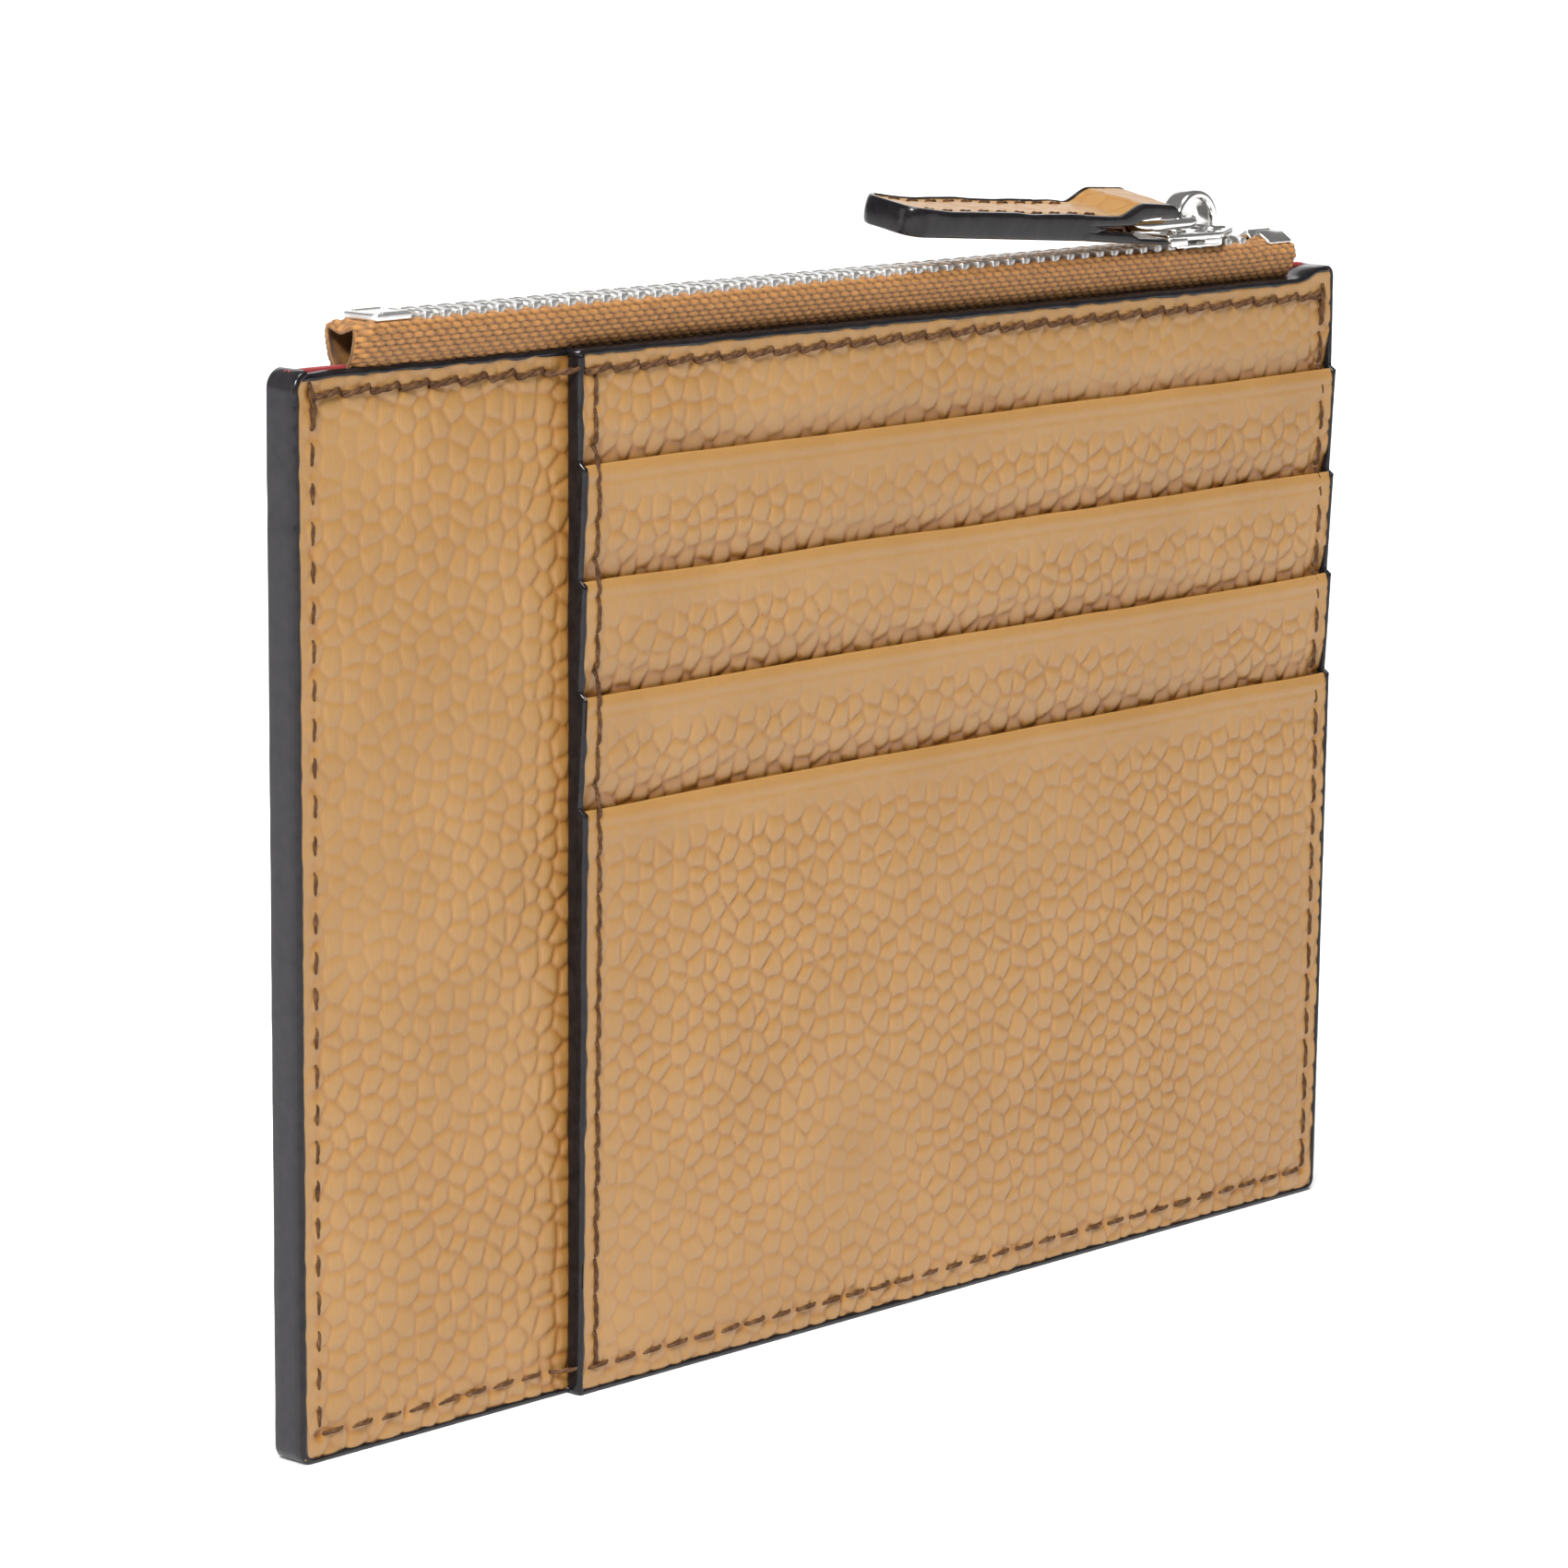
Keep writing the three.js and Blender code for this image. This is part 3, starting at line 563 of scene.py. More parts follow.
# The line down a pocket's outer face, with a crease under its folded edge.
def lineDown(top, foot, yTop, yFoot):
    zs = np.arange(top, foot - fine / 2, -fine)
    share = (top - zs) / (top - foot)
    ys = yTop + (yFoot - yTop) * share
    down = top - zs
    ys = ys + 0.07 * hump(down - pocket["crease"], 0.22)
    ys = ys + pocket["fold"] * 0.6 * np.exp(-down / 0.4)  # the fold turns in at its top
    return np.stack([ys, zs], 1)


# How far the leather is pressed in over a slot, at heights zs.
def dipOver(slotTop, zs):
    return pocket["dip"] * smoothStep(-zs, -slotTop - pocket["dipReach"], -slotTop)


def buildPockets():
    for i in range(4):
        top = slotTops[i] - pocket["fold"]
        yTop = stackFace - slotStep
        if i < 3:
            under = slotTops[i + 1] - pocket["tuck"]
            perMillimetre = slotStep / (slotTops[i] - slotTops[i + 1])
            yFoot = yTop + perMillimetre * (top - under)
        else:
            under = panel["foot"]
            yFoot = stackFace
        line = lineDown(top, under, yTop, yFoot)
        if i < 3:
            line[:, 0] += dipOver(slotTops[i + 1], line[:, 1])

        def wave(xs, seed=40 + i):
            return 0.09 * softNoise(xs, 0, 17, seed) + 0.05 * softNoise(xs, 0, 6, seed + 9)

        leatherStrip(
            f"pocketLeather{i + 1}", f"card_pocket_{i + 1}", stackXs, line, pocket["leather"],
            carryBelow(slotTops[i]), rimHoles + stackHoles, 100 + 7 * i, pocket["fold"], wave,
            paintedShadowOver(slotTops[i + 1]) if i < 3 else noShadow,
        )


def buildHeader():
    under = slotTops[0] - pocket["tuck"]
    top = topAtMiddle - 0.45
    zs = np.arange(top, under - fine / 2, -fine)
    ys = stackFace + 0.03 * (top - zs) / 10 + dipOver(slotTops[0], zs)
    line = np.stack([ys, zs], 1)

    def rise(xs):
        return earRise(xs) - zipDrop * xs

    def carry(x, z):
        wear = 0.8 + 0.3 * softNoise(x, z, 12, 77)
        edge = 1 - 0.7 * hump(topEdge(x) - z, 1.3)
        patch = 1 - 0.6 * np.exp(-(((x - 50) / 9) ** 2 + ((z - 84) / 4) ** 2))
        return wear * edge * patch

    leatherStrip(
        "headerLeather", "header_strip", stackXs, line, 0.8, carry, rimHoles + stackHoles, 90, 0.1, rise,
        paintedShadowOver(slotTops[0]),
    )


def buildFrontPanel():
    outer = bodyLow[1]
    xs = np.concatenate([
        np.arange(bodyLow[0] + panel["lap"], stackLeft + 1.2, fine),
        np.arange(stackLeft + 2, bodyHigh[0] - 0.5, 2.5),  # coarse where the pockets cover it
    ])
    zs = np.arange(topAtMiddle - panel["under"], panel["foot"], -fine)
    line = np.stack([np.full(len(zs), outer), zs], 1)

    def rise(x):
        return -zipDrop * x - roundedCorner(x)

    def carry(x, z):
        wear = 0.9 + 0.3 * softNoise(x, z, 15, 12)
        edges = 1 - 0.75 * hump(x - bodyLow[0], 1.7) - 0.6 * hump(topEdge(x) - z, 1.4)
        corner = 1 - 0.65 * np.exp(-(((x + 59) / 4.5) ** 2 + ((z - 83) / 4) ** 2))
        return np.clip(wear * edges * corner, 0, None)

    def shadow(x, z):
        return 0.75 * smoothStep(x, stackLeft - 5, stackLeft) ** 2

    leatherStrip(
        "frontLeather", "front_panel", xs, line, panel["thick"], carry, rimHoles, 7, panel["rounding"], rise,
        shadow,
    )


def buildBackPanel():
    outer = bodyHigh[1]
    step = max(fine, 0.345)
    columns = int((bodyHigh[0] - bodyLow[0]) / step)
    xs = np.linspace(bodyLow[0] + panel["lap"], bodyHigh[0] - panel["lap"], columns)
    zs = np.arange(topAtMiddle - panel["under"], panel["foot"], -step)
    xGrid, zGrid = np.meshgrid(xs, zs, indexing="ij")
    shift = earRise(xs) - zipDrop * xs - roundedCorner(xs)
    zGrid = zGrid + shift[:, None] * np.linspace(1, 0, len(zs))[None] ** 3
    height = scaleHeight(xGrid, zGrid, 55, 0.25)
    wear = 0.85 + 0.3 * softNoise(xGrid, zGrid, 15, 13)
    carry = wear * (1 - 0.7 * hump(topEdge(xGrid) - zGrid, 1.3))
    drawn = sewnIn(xGrid, zGrid, rimHoles)
    lift = grain["depth"] * (height - facing["level"]) * carry - drawn
    front = np.stack([xGrid, outer + lift, zGrid], -1)
    rows, columns = xGrid.shape
    points = front.reshape(-1, 3)
    faces = skinFaces(rows, columns, closed=False)
    # the inner side, as a plain sheet joined round its edge
    rim = [(i, 0) for i in range(rows)] + [(rows - 1, j) for j in range(1, columns)]
    rim += [(i, columns - 1) for i in range(rows - 2, -1, -1)] + [(0, j) for j in range(columns - 2, 0, -1)]
    ids = np.array([i * columns + j for i, j in rim])
    inner = points[ids].copy()
    inner[:, 1] = outer - panel["thick"]
    base = len(points)
    count = len(ids)
    walls = [[ids[k], base + k, base + (k + 1) % count, ids[(k + 1) % count]] for k in range(count)]
    points = np.concatenate([points, inner])
    faces = faces + walls + [[base + k for k in range(count)][::-1]]
    shade = valleyShade(height, carry) - facing["holeShade"] * drawn
    relief = np.concatenate([np.clip(shade, 0, 1).reshape(-1), np.ones(count)])
    piece = makePiece("backLeather", points, faces, "pouch", "grain_leather", leather, relief)
    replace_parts(piece, "back_panel")


print("leather panels and pockets")
buildFrontPanel()
buildBackPanel()
buildHeader()
buildPockets()


# Bead of paint swept along a line of stations. Each station gives the section's points.
def sweptPaint(name, sections, nodes, paintedReflection=None):
    sections = np.asarray(sections, dtype=float)
    rows, columns = sections.shape[:2]
    # the painted reflection at each section's points; without it the paint stays black
    relief = np.zeros(rows * columns) if paintedReflection is None else np.tile(paintedReflection, rows)
    piece = makePiece(name, *skinOf(sections), "pouch", "edge_paint", paint, relief)
    if nodes:
        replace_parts(piece, *nodes)
    return piece


rim = {
    "reach": 0.5,  # how far the paint laps over the leather's face
    "proud": 0.06,  # how far it stands off the face
    "wave": 0.07,  # how uneven its border is
    "corner": 0.28,  # radius between the face and the flat of the edge
    "step": 0.35,
    "bend": 7,  # stations round a corner
}


# One section across the pouch's edge, between its two faces: inward is along the face, away from the edge.
def edgeSection(frontY, backY, along, seed, pits):
    half = (backY - frontY) / 2
    middle = (frontY + backY) / 2
    corner = rim["corner"]
    frontLap = rim["reach"] + rim["wave"] * softNoise(along, 0, 1.1, seed)
    backLap = rim["reach"] + rim["wave"] * softNoise(along, 9, 1.1, seed + 1)
    bite = pits * 0.05 * (0.5 + 0.5 * math.cos(2 * math.pi * along / (seam["pitch"] / 2)))
    ripple = 0.04 * softNoise(along, 3, 2.3, seed + 2) - 0.06  # stands out past the layers it covers
    section = [(frontLap, frontY + 0.12), (frontLap - 0.08, frontY - rim["proud"])]
    for t in np.linspace(0, math.pi / 2, 6):
        inward = corner * (1 - math.sin(t)) + bite * math.cos(t)
        y = frontY - rim["proud"] * math.cos(t) ** 2 + corner * (1 - math.cos(t))
        section.append((inward + ripple * math.sin(t), y))
    for share in (0.3, 0.5, 0.7):
        section.append((ripple, middle + half * (2 * share - 1)))
    for t in np.linspace(math.pi / 2, 0, 6):
        inward = corner * (1 - math.sin(t))
        y = backY + rim["proud"] * math.cos(t) ** 2 - corner * (1 - math.cos(t))
        section.append((inward + ripple * math.sin(t), y))
    section += [(backLap - 0.08, backY + rim["proud"]), (backLap, backY - 0.12)]
    return section  # (inward, y)


# Stations round the pouch from its top left corner, down, along the bottom and up to its top right corner.
def rimStations():
    left, right, low = bodyLow[0], bodyHigh[0], bodyLow[2]
    leftTop, rightTop = topEdge(left) + 0.25, bodyHigh[2] - 0.15
    topRadius, footRadius, earRadius = 1.6, 1.2, 1
    stations = []

    def straight(start, end, inward):
        start, end = np.array(start, float), np.array(end, float)
        count = max(2, int(np.linalg.norm(end - start) / rim["step"]))
        for k in range(count):
            stations.append((start + (end - start) * k / count, np.array(inward, float)))

    def bend(middle, radius, start, end):
        for k in range(rim["bend"]):
            t = math.radians(start + (end - start) * k / rim["bend"])
            out = np.array([math.cos(t), math.sin(t)])
            stations.append((np.array(middle) + out * radius, -out))

    bend((left + topRadius, leftTop - topRadius), topRadius, 100, 180)
    straight((left, leftTop - topRadius), (left, low + footRadius), (1, 0))
    bend((left + footRadius, low + footRadius), footRadius, 180, 270)
    straight((left + footRadius, low), (right - footRadius, low), (0, 1))
    bend((right - footRadius, low + footRadius), footRadius, 270, 360)
    straight((right, low + footRadius), (right, rightTop - earRadius), (-1, 0))
    bend((right - earRadius, rightTop - earRadius), earRadius, 0, 80)
    return stations


def frontFaceY(x, z):
    if x < stackLeft + 0.1:
        return bodyLow[1]
    for i in range(4):
        top, foot = slotTops[i], slotTops[i + 1] if i < 3 else 0
        if foot < z <= top:
            return stackFace - slotStep * (1 - (top - z) / (top - foot)) - 0.02
    return stackFace


def buildRim():
    sections = []
    travelled = 0
    stations = rimStations()
    for k, (place, inward) in enumerate(stations):
        if k:
            travelled += np.linalg.norm(place - stations[k - 1][0])
        pits = 1.0 if inward[0] > 0.5 else 0.35
        front = frontFaceY(place[0] + 0.5 * inward[0], place[1] + 0.5 * inward[1])
        section = edgeSection(front, bodyHigh[1], travelled, 300, pits)
        sections.append([
            (place[0] + inward[0] * d, y, max(place[1] + inward[1] * d, 0.0)) for d, y in section
        ])
    # painted reflection: the flat of the edge is painted lighter grey than its corners
    paintedReflection = np.zeros(len(sections[0]))
    paintedReflection[6:17] = [0.15, 0.5, 0.9, 1, 1, 1, 1, 1, 1, 0.9, 0.5]
    sweptPaint("rimPaint", sections, ["edge_coat"], paintedReflection)


ears = {
    "apart": 0.26,  # from the middle of the zip
    "start": 5.4,  # from the pouch's right edge
    "end": 1.1,
    "step": 0.25,
    "above": 0.14,  # over the top edge
    "section": [(-0.1, -0.9), (-0.1, -0.1), (-0.04, 0), (0.04, 0), (0.1, -0.1), (0.1, -0.9)],
}


# The lining stands a little over the painted edges at the right corner, past the end of the zip.
def buildLiningEars():
    for name, y in (("liningEarFront", midY - ears["apart"]), ("liningEarBack", midY + ears["apart"])):
        sections = []
        for x in np.arange(bodyHigh[0] - ears["start"], bodyHigh[0] - ears["end"], ears["step"]):
            top = topEdge(x) + earRise(x) + ears["above"] + 0.06 * softNoise(x, y, 1.1, 440)
            sections.append([(x, y + dy, top + dz) for dy, dz in ears["section"]])
        makePiece(name, *skinOf(sections), "pouch", "red_lining", redCloth)


backing = {"front": -1.68, "back": -1.51, "foot": 0.3, "inside": 0.4, "under": 0.12, "stations": 200}


# The cloth behind the pocket stack.
def buildBacking():
    front, back, foot = backing["front"], backing["back"], backing["foot"]
    sections = []
    for x in np.linspace(stackLeft + backing["inside"], bodyHigh[0] - backing["inside"], backing["stations"]):
        top = topEdge(x) + earRise(x) - backing["under"]
        sections.append([(x, front, foot), (x, front, top), (x, back, top), (x, back, foot)])
    cloth = makePiece("stackBacking", *skinOf(sections), "pouch", "pocket_cloth", tanCloth, None, False)
    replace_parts(cloth, "stack_backing")


topPaint = {
    "zip": 0.42,  # from the middle of the zip
    "left": 0.9,  # from the pouch's left edge
    "right": 0.55,
}


# The painted top edges either side of the zip.
def buildTopPaint():
    left, right = bodyLow[0] + topPaint["left"], bodyHigh[0] - topPaint["right"]
    for name, frontY, backY, start, end, side in [
        ("topPaintFrontLeft", bodyLow[1], midY - topPaint["zip"], left, stackLeft + 0.2, -1),
        ("topPaintStack", stackFace, midY - topPaint["zip"], stackLeft, right, -1),
        ("topPaintBack", midY + topPaint["zip"], bodyHigh[1], left, right, 1),
    ]:
        sections = []
        for x in np.arange(start, end, rim["step"]):
            top = topEdge(x) + earRise(x) + 0.05 * softNoise(x, 0, 2.1, 410)
            lapFront = 0.55 + 0.14 * softNoise(x, 0, 1.2, 420 + side)
            lapBack = 0.5 + 0.12 * softNoise(x, 5, 1.2, 430 + side)
            proud = rim["proud"]
            section = [
                (frontY + 0.1, top - lapFront), (frontY - proud, top - lapFront + 0.08),
                (frontY - proud, top - 0.3), (frontY + 0.08, top - 0.08), (frontY + 0.3, top),
                (backY - 0.3, top), (backY - 0.08, top - 0.08), (backY + proud * 0.5, top - 0.3),
                (backY + proud * 0.5, top - lapBack + 0.08), (backY - 0.1, top - lapBack),
            ]
            sections.append([(x, y, z) for y, z in section])
        sweptPaint(name, sections, [])


# The open side of the pocket stack.
def buildStackSidePaint():
    sections = []
    travelled = 0
    for z in np.arange(0.05, topEdge(stackLeft) - 0.1, rim["step"]):
        travelled += rim["step"]
        front = frontFaceY(stackLeft + 1, z)
        back = bodyLow[1] - 0.02
        lap = 0.5 + 0.16 * softNoise(travelled, 0, 1.4, 500)
        ripple = 0.05 * softNoise(travelled, 0, 1.7, 501)
        x = stackLeft + ripple
        section = [
            (stackLeft + lap, front + 0.1), (stackLeft + lap - 0.08, front - rim["proud"]),
            (x + 0.3, front - rim["proud"]), (x + 0.08, front + 0.06), (x, front + 0.3),
            (x, back - 0.25), (x + 0.1, back - 0.06), (x + 0.35, back), (x + 0.9, back),
        ]
        sections.append([(px, y, z) for px, y in section])
    sweptPaint("stackSidePaint", sections, ["stack_edge_coat"])


print("painted edges")
buildRim()
buildTopPaint()
buildStackSidePaint()
buildLiningEars()
buildBacking()


# One stitch of two-ply thread from hole to hole, over the leather. normal points out of the leather.
def addStitch(collector, start, end, normal, rise, radius, reach=1.0, depth=0.3):
    twist = 2.4  # radians in a millimetre
    start, end, normal = (np.asarray(v, dtype=float) for v in (start, end, normal))
    middle, half = (start + end) / 2, (end - start) / 2 * reach
    share = np.linspace(-1, 1, 15)
    line = middle + share[:, None] * half
    bow = 1 - np.abs(share) ** 5
    line = line + normal * (bow * (rise + depth) - depth)[:, None]
    ahead = half / np.linalg.norm(half)
    across = np.cross(ahead, normal)
    length = 2 * np.linalg.norm(half)
    for ply in (0, 1):
        angle = share * length / 2 * twist + ply * math.pi
        offset = radius * 0.62
        strand = line + offset * (np.cos(angle)[:, None] * across + np.sin(angle)[:, None] * normal)
        collector.add(*tube(strand, radius * (0.8 + 0.2 * bow), 6))


# A row of stitches through the holes. slant is how far each one leans across the row.
def runStitches(collector, holes, height, normal, slant, reach, radius, rise, seed):
    rng = np.random.default_rng(seed)
    for first, second in zip(holes[:-1], holes[1:]):
        along = (second - first) / np.linalg.norm(second - first)
        across = np.array([-along[1], along[0]])
        wobble = rng.normal(0, 0.05, 2)
        a = first + along * wobble[0] - across * (slant / 2 + wobble[1] / 2)
        b = second + along * wobble[1] + across * (slant / 2 + wobble[0] / 2)
        ya, yb = height(*a), height(*b)
        addStitch(collector, (a[0], ya, a[1]), (b[0], yb, b[1]), normal, rise, radius, reach)


def sewnPiece(name, collector, node):
    points, faces = collector.all()
    piece = makePiece(name, points, faces, "pouch", "thread", thread)
    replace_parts(piece, node)


def buildSewing():
    def faceHeight(x, z):
        return frontFaceY(x, z) + seam["press"]

    def backHeight(x, z):
        return bodyHigh[1] - seam["press"]

    front = Collector()
    outward = (0, -1, 0)
    runStitches(front, leftHoles, faceHeight, outward, 0.0, 0.62, 0.13, 0.02, 1)
    runStitches(front, rightHoles, faceHeight, outward, 0.1, 0.86, 0.13, 0.06, 2)
    runStitches(front, bottomHoles, faceHeight, outward, 0.18, 0.74, 0.14, 0.06, 3)
    runStitches(front, topHoles, faceHeight, outward, 0.46, 0.98, 0.2, 0.14, 4)
    # backstitches lock the seam at both top corners
    for x, holes in ((leftSeam, leftHoles), (rightSeam, rightHoles)):
        z = topSeamAt(x)
        inward = 1 if x < 0 else -1
        y = faceHeight(x, z)
        addStitch(front, (x - 0.3 * inward, y, z + 1.2), (x + 0.1 * inward, y, z - 1.9), outward, 0.16, 0.16)
        addStitch(front, (x, y, z - 0.3), (x + 2.6 * inward, y, z + 0.1), outward, 0.22, 0.16)
        addStitch(front, (x + 0.15, y, z - 0.2), (x - 0.05, y, z - 2.9), outward, 0.2, 0.15)
    sewnPiece("frontStitches", front, "front_seam_thread")

    back = Collector()
    for seed, holes in enumerate((leftHoles, rightHoles, bottomHoles, topHoles)):
        runStitches(back, holes, backHeight, (0, 1, 0), 0.15, 0.82, 0.14, 0.06, 20 + seed)
    sewnPiece("backStitches", back, "back_seam_thread")

    stack = Collector()
    runStitches(stack, stackHoles, faceHeight, outward, 0.14, 1.02, 0.14, 0.07, 9)
    sewnPiece("stackStitches", stack, "stack_seam_thread")


print("sewing")
buildSewing()


# The zip, slider, ring and pull are drawn level and then tipped with the top edge.
zipTip = math.atan(zipDrop)


def zipPlace(points):
    p = np.asarray(points, dtype=float)
    z = p[..., 2] - topAtMiddle
    return np.stack([
        p[..., 0] * math.cos(zipTip) + z * math.sin(zipTip),
        p[..., 1] + midY,
        topAtMiddle - p[..., 0] * math.sin(zipTip) + z * math.cos(zipTip),
    ], -1)


chain = {
    "top": 92.85,
    "tape": 92.0,  # height of the tapes where the teeth hold them
    "half": 2.0,  # from the middle to the outer face of the teeth
    "start": -52.1,
    "end": 55.1,
    "pitch": 2.03,
    "tooth": 0.92,
    "head": 0.55,  # how far a head passes the middle
    "cord": 1.15,  # from the middle to the cord that carries the teeth
}
tapeSizes = {
    "start": -58.5,
    "end": 60.0,
    "thick": 0.32,
    "bead": 1.2,  # one bead of the weave along the zip
    "row": 0.47,
    "relief": 0.19,
    "roof": 56.2,  # past here the tapes lean together
    "innerPoints": 20,
    "innerShade": 0.45,
}


# Evenly spaced points along a path with rounded corners, and how far along each one is.
def resample(path, count):
    path = np.asarray(path, dtype=float)
    for cutting in range(2):  # rounds the corners
        cut = [path[0]]
        for a, b in zip(path[:-1], path[1:]):
            cut += [a * 0.75 + b * 0.25, a * 0.25 + b * 0.75]
        path = np.array(cut + [path[-1]])
    length = np.concatenate([[0], np.cumsum(np.linalg.norm(np.diff(path, axis=0), axis=1))])
    places = np.linspace(0, length[-1], count)
    return np.stack([np.interp(places, length, path[:, k]) for k in (0, 1)], 1), places


# 1 at zero, falling to 0 at half and past it.
def roundTop(value, half, power):
    return np.clip(1 - (np.abs(value) / half) ** power, 0, 1)


# Each tape rises beside the lining, turns over towards the teeth and leans on the other one at the right end.
def buildTapes():
    line, level = topAtMiddle, chain["tape"]
    rise = [(0.9, line - 1.2), (1.1, line), (1.5, line + 0.45), (1.95, line + 1.0)]
    straight = rise + [
        (2.25, level - 1.4), (2.42, level - 0.8), (2.36, level - 0.2),
        (2.1, level + 0.06), (1.0, level + 0.08),
    ]
    roof = rise + [
        (2.25, level - 1.6), (2.42, level - 1.1), (2.4, level - 0.7),
        (2.1, level - 0.3), (0.62, level + 0.5),
    ]
    count = 96
    straightPath, travelled = resample(straight, count)
    roofPath = resample(roof, count)[0]
    xs = np.arange(tapeSizes["start"], tapeSizes["end"], 0.17)
    x, s = np.meshgrid(xs, travelled, indexing="ij")
    lean = smoothStep(xs, tapeSizes["roof"] - 2.4, tapeSizes["roof"])[:, None, None]
    middle = straightPath[None] * (1 - lean) + roofPath[None] * lean
    closed = smoothStep(-xs, -tapeSizes["start"] - 3.4, -tapeSizes["start"] - 2.0)[:, None]
    flat = smoothStep(travelled, travelled[-1] - 1.3, travelled[-1])[None]
    middle[..., 0] -= 0.95 * closed * flat  # the tapes meet past the stop
    curl = smoothStep(-xs, -tapeSizes["start"] - 1.6, -tapeSizes["start"])[:, None] ** 1.5
    middle[..., 0] *= 1 - 0.32 * curl
    middle[..., 1] -= 0.55 * curl * flat + 0.12 * curl
    ahead = np.gradient(middle, axis=1)
    ahead /= np.linalg.norm(ahead, axis=2)[..., None]
    out = np.stack([ahead[..., 1], -ahead[..., 0]], -1)
    row = np.floor(s / tapeSizes["row"])
    across = s / tapeSizes["row"] - row - 0.5
    drift = 0.12 * softNoise(x, s, 3.1, 71)
    along = (x + drift) / tapeSizes["bead"] + 0.5 * (row % 2) + 0.18 * across
    along = along - np.floor(along) - 0.5
    bead = roundTop(along, 0.42, 2.6) ** 0.5 * roundTop(across, 0.52, 2.2) ** 0.5
    sunk = roundTop(np.abs(along) - 0.5, 0.16, 2) * roundTop(across, 0.5, 2)  # the thread between two beads
    height = np.maximum(bead, 0.5 * sunk)
    outer = middle + out * (tapeSizes["thick"] / 2 + tapeSizes["relief"] * (height - 0.6))[..., None]
    inner = middle - out * (tapeSizes["thick"] / 2)
    inner = inner[:, np.linspace(count - 1, 0, tapeSizes["innerPoints"]).astype(int)]
    for name, side in (("tapeFront", -1), ("tapeBack", 1)):
        ring = np.concatenate([outer, inner], 1)
        points = np.concatenate([np.repeat(xs[:, None, None], ring.shape[1], 1), ring * [side, 1]], 2)
        points, faces = skinOf(zipPlace(points))
        # painted shade and highlight of the weave, with painted shade on the tape's inner side
        relief = np.concatenate([height, np.full(inner.shape[:2], tapeSizes["innerShade"])], 1).reshape(-1)
        faces = flipped(faces) if side < 0 else faces
        piece = makePiece(name, points, faces, "pouch", "zip_tape", tape, relief)
        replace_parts(piece, "zip_tape_front" if side < 0 else "zip_tape_back")


# A block with rounded sections: each row gives along, half width, bottom and top.
def loftedBlock(rows, corner):
    steps = 3
    points = []
    for along, half, low, high in rows:
        c = min(corner, half * 0.9, (high - low) * 0.45)
        section = []
        for sx, sz, start in ((1, 1, 0), (-1, 1, 90), (-1, -1, 180), (1, -1, 270)):
            middle = (sx * (half - c), (high - c) if sz > 0 else (low + c))
            for k in range(steps + 1):
                t = math.radians(start + 90 * k / steps)
                section.append((middle[0] + c * math.cos(t), along, middle[1] + c * math.sin(t)))
        points.append(section)
    return skinOf(points)


def buildTeeth():
    half, top, reach = chain["half"], chain["top"], chain["head"]
    w = chain["tooth"] / 2
    foot = chain["tape"] - 0.55
    rows = [
        (-half, w * 0.86, foot, top - 0.18),
        (-half + 0.06, w, foot, top - 0.1),
        (-half + 0.5, w, foot, top - 0.08),
        (-half + 0.75, w * 0.98, foot, top + 0.02),
        (-0.75, w * 0.9, foot, top + 0.02),
        (-0.35, w * 0.72, foot, top - 0.06),
        (0.05, w * 0.8, foot, top - 0.02),
        (reach - 0.2, w * 0.95, foot + 0.1, top - 0.05),
        (reach - 0.02, w * 0.7, foot + 0.3, top - 0.28),
    ]
    points, faces = loftedBlock(rows, 0.13)
    for name, side, offset, node in (
        ("teethFront", 1, chain["pitch"] / 2, "teeth_front"), ("teethBack", -1, 0, "teeth_back"),
    ):
        row = Collector()
        x = chain["start"] + offset
        while x + chain["tooth"] < chain["end"]:
            tooth = points * [1, side, 1] + [x + w, 0, 0]
            row.add(zipPlace(tooth), faces if side > 0 else flipped(faces))
            x += chain["pitch"]
        cordY = -side * chain["cord"]
        cordStart = (chain["start"] + offset, cordY, chain["tape"])
        cordEnd = (x - chain["pitch"] + w, cordY, chain["tape"])
        row.add(*tube(zipPlace(np.linspace(cordStart, cordEnd, 20)), 0.25, 8))
        piece = makePiece(name, *row.all(), "pouch", "steel", satin)
        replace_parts(piece, node)


# Plate with a drawn outline and rounded edges.
def plateSolid(outline, low, high, bevel, segments=3):
    made = bmesh.new()
    corners = [made.verts.new((x, y, low)) for x, y in outline]
    bottom = made.faces.new(corners)
    grown = bmesh.ops.extrude_face_region(made, geom=[bottom])
    raised = [part for part in grown["geom"] if isinstance(part, bmesh.types.BMVert)]
    bmesh.ops.translate(made, vec=(0, 0, high - low), verts=raised)
    bmesh.ops.recalc_face_normals(made, faces=made.faces)
    bmesh.ops.bevel(made, geom=list(made.edges), offset=bevel, segments=segments, profile=0.5, affect="EDGES")
    made.verts.index_update()
    points = np.array([v.co[:] for v in made.verts])
    faces = [[v.index for v in f.verts] for f in made.faces]
    made.free()
    return points, faces


def buildBottomStop():
    level, half = chain["top"], chain["half"]
    low, high = -56.5, -52.5
    outline = [
        (low + 0.25, -half), (high, -half), (high, half),
        (low + 0.25, half), (low, half - 0.3), (low, 0.3 - half),
    ]
    stop = Collector()
    points, faces = plateSolid(outline, level - 0.62, level + 0.02, 0.14)
    stop.add(zipPlace(points), faces)
    left, right, outer, inner = low + 0.9, high - 0.1, 0.16 - half, 0.5 - half
    ridge = [(left, outer), (right, outer), (right, inner), (left, inner)]
    points, faces = plateSolid(ridge, level - 0.3, level + 0.12, 0.09)
    stop.add(zipPlace(points), faces)
    stop.add(zipPlace(points * [1, -1, 1]), flipped(faces))
    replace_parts(makePiece("bottomStop", *stop.all(), "pouch", "steel", satin), "bottom_stop")


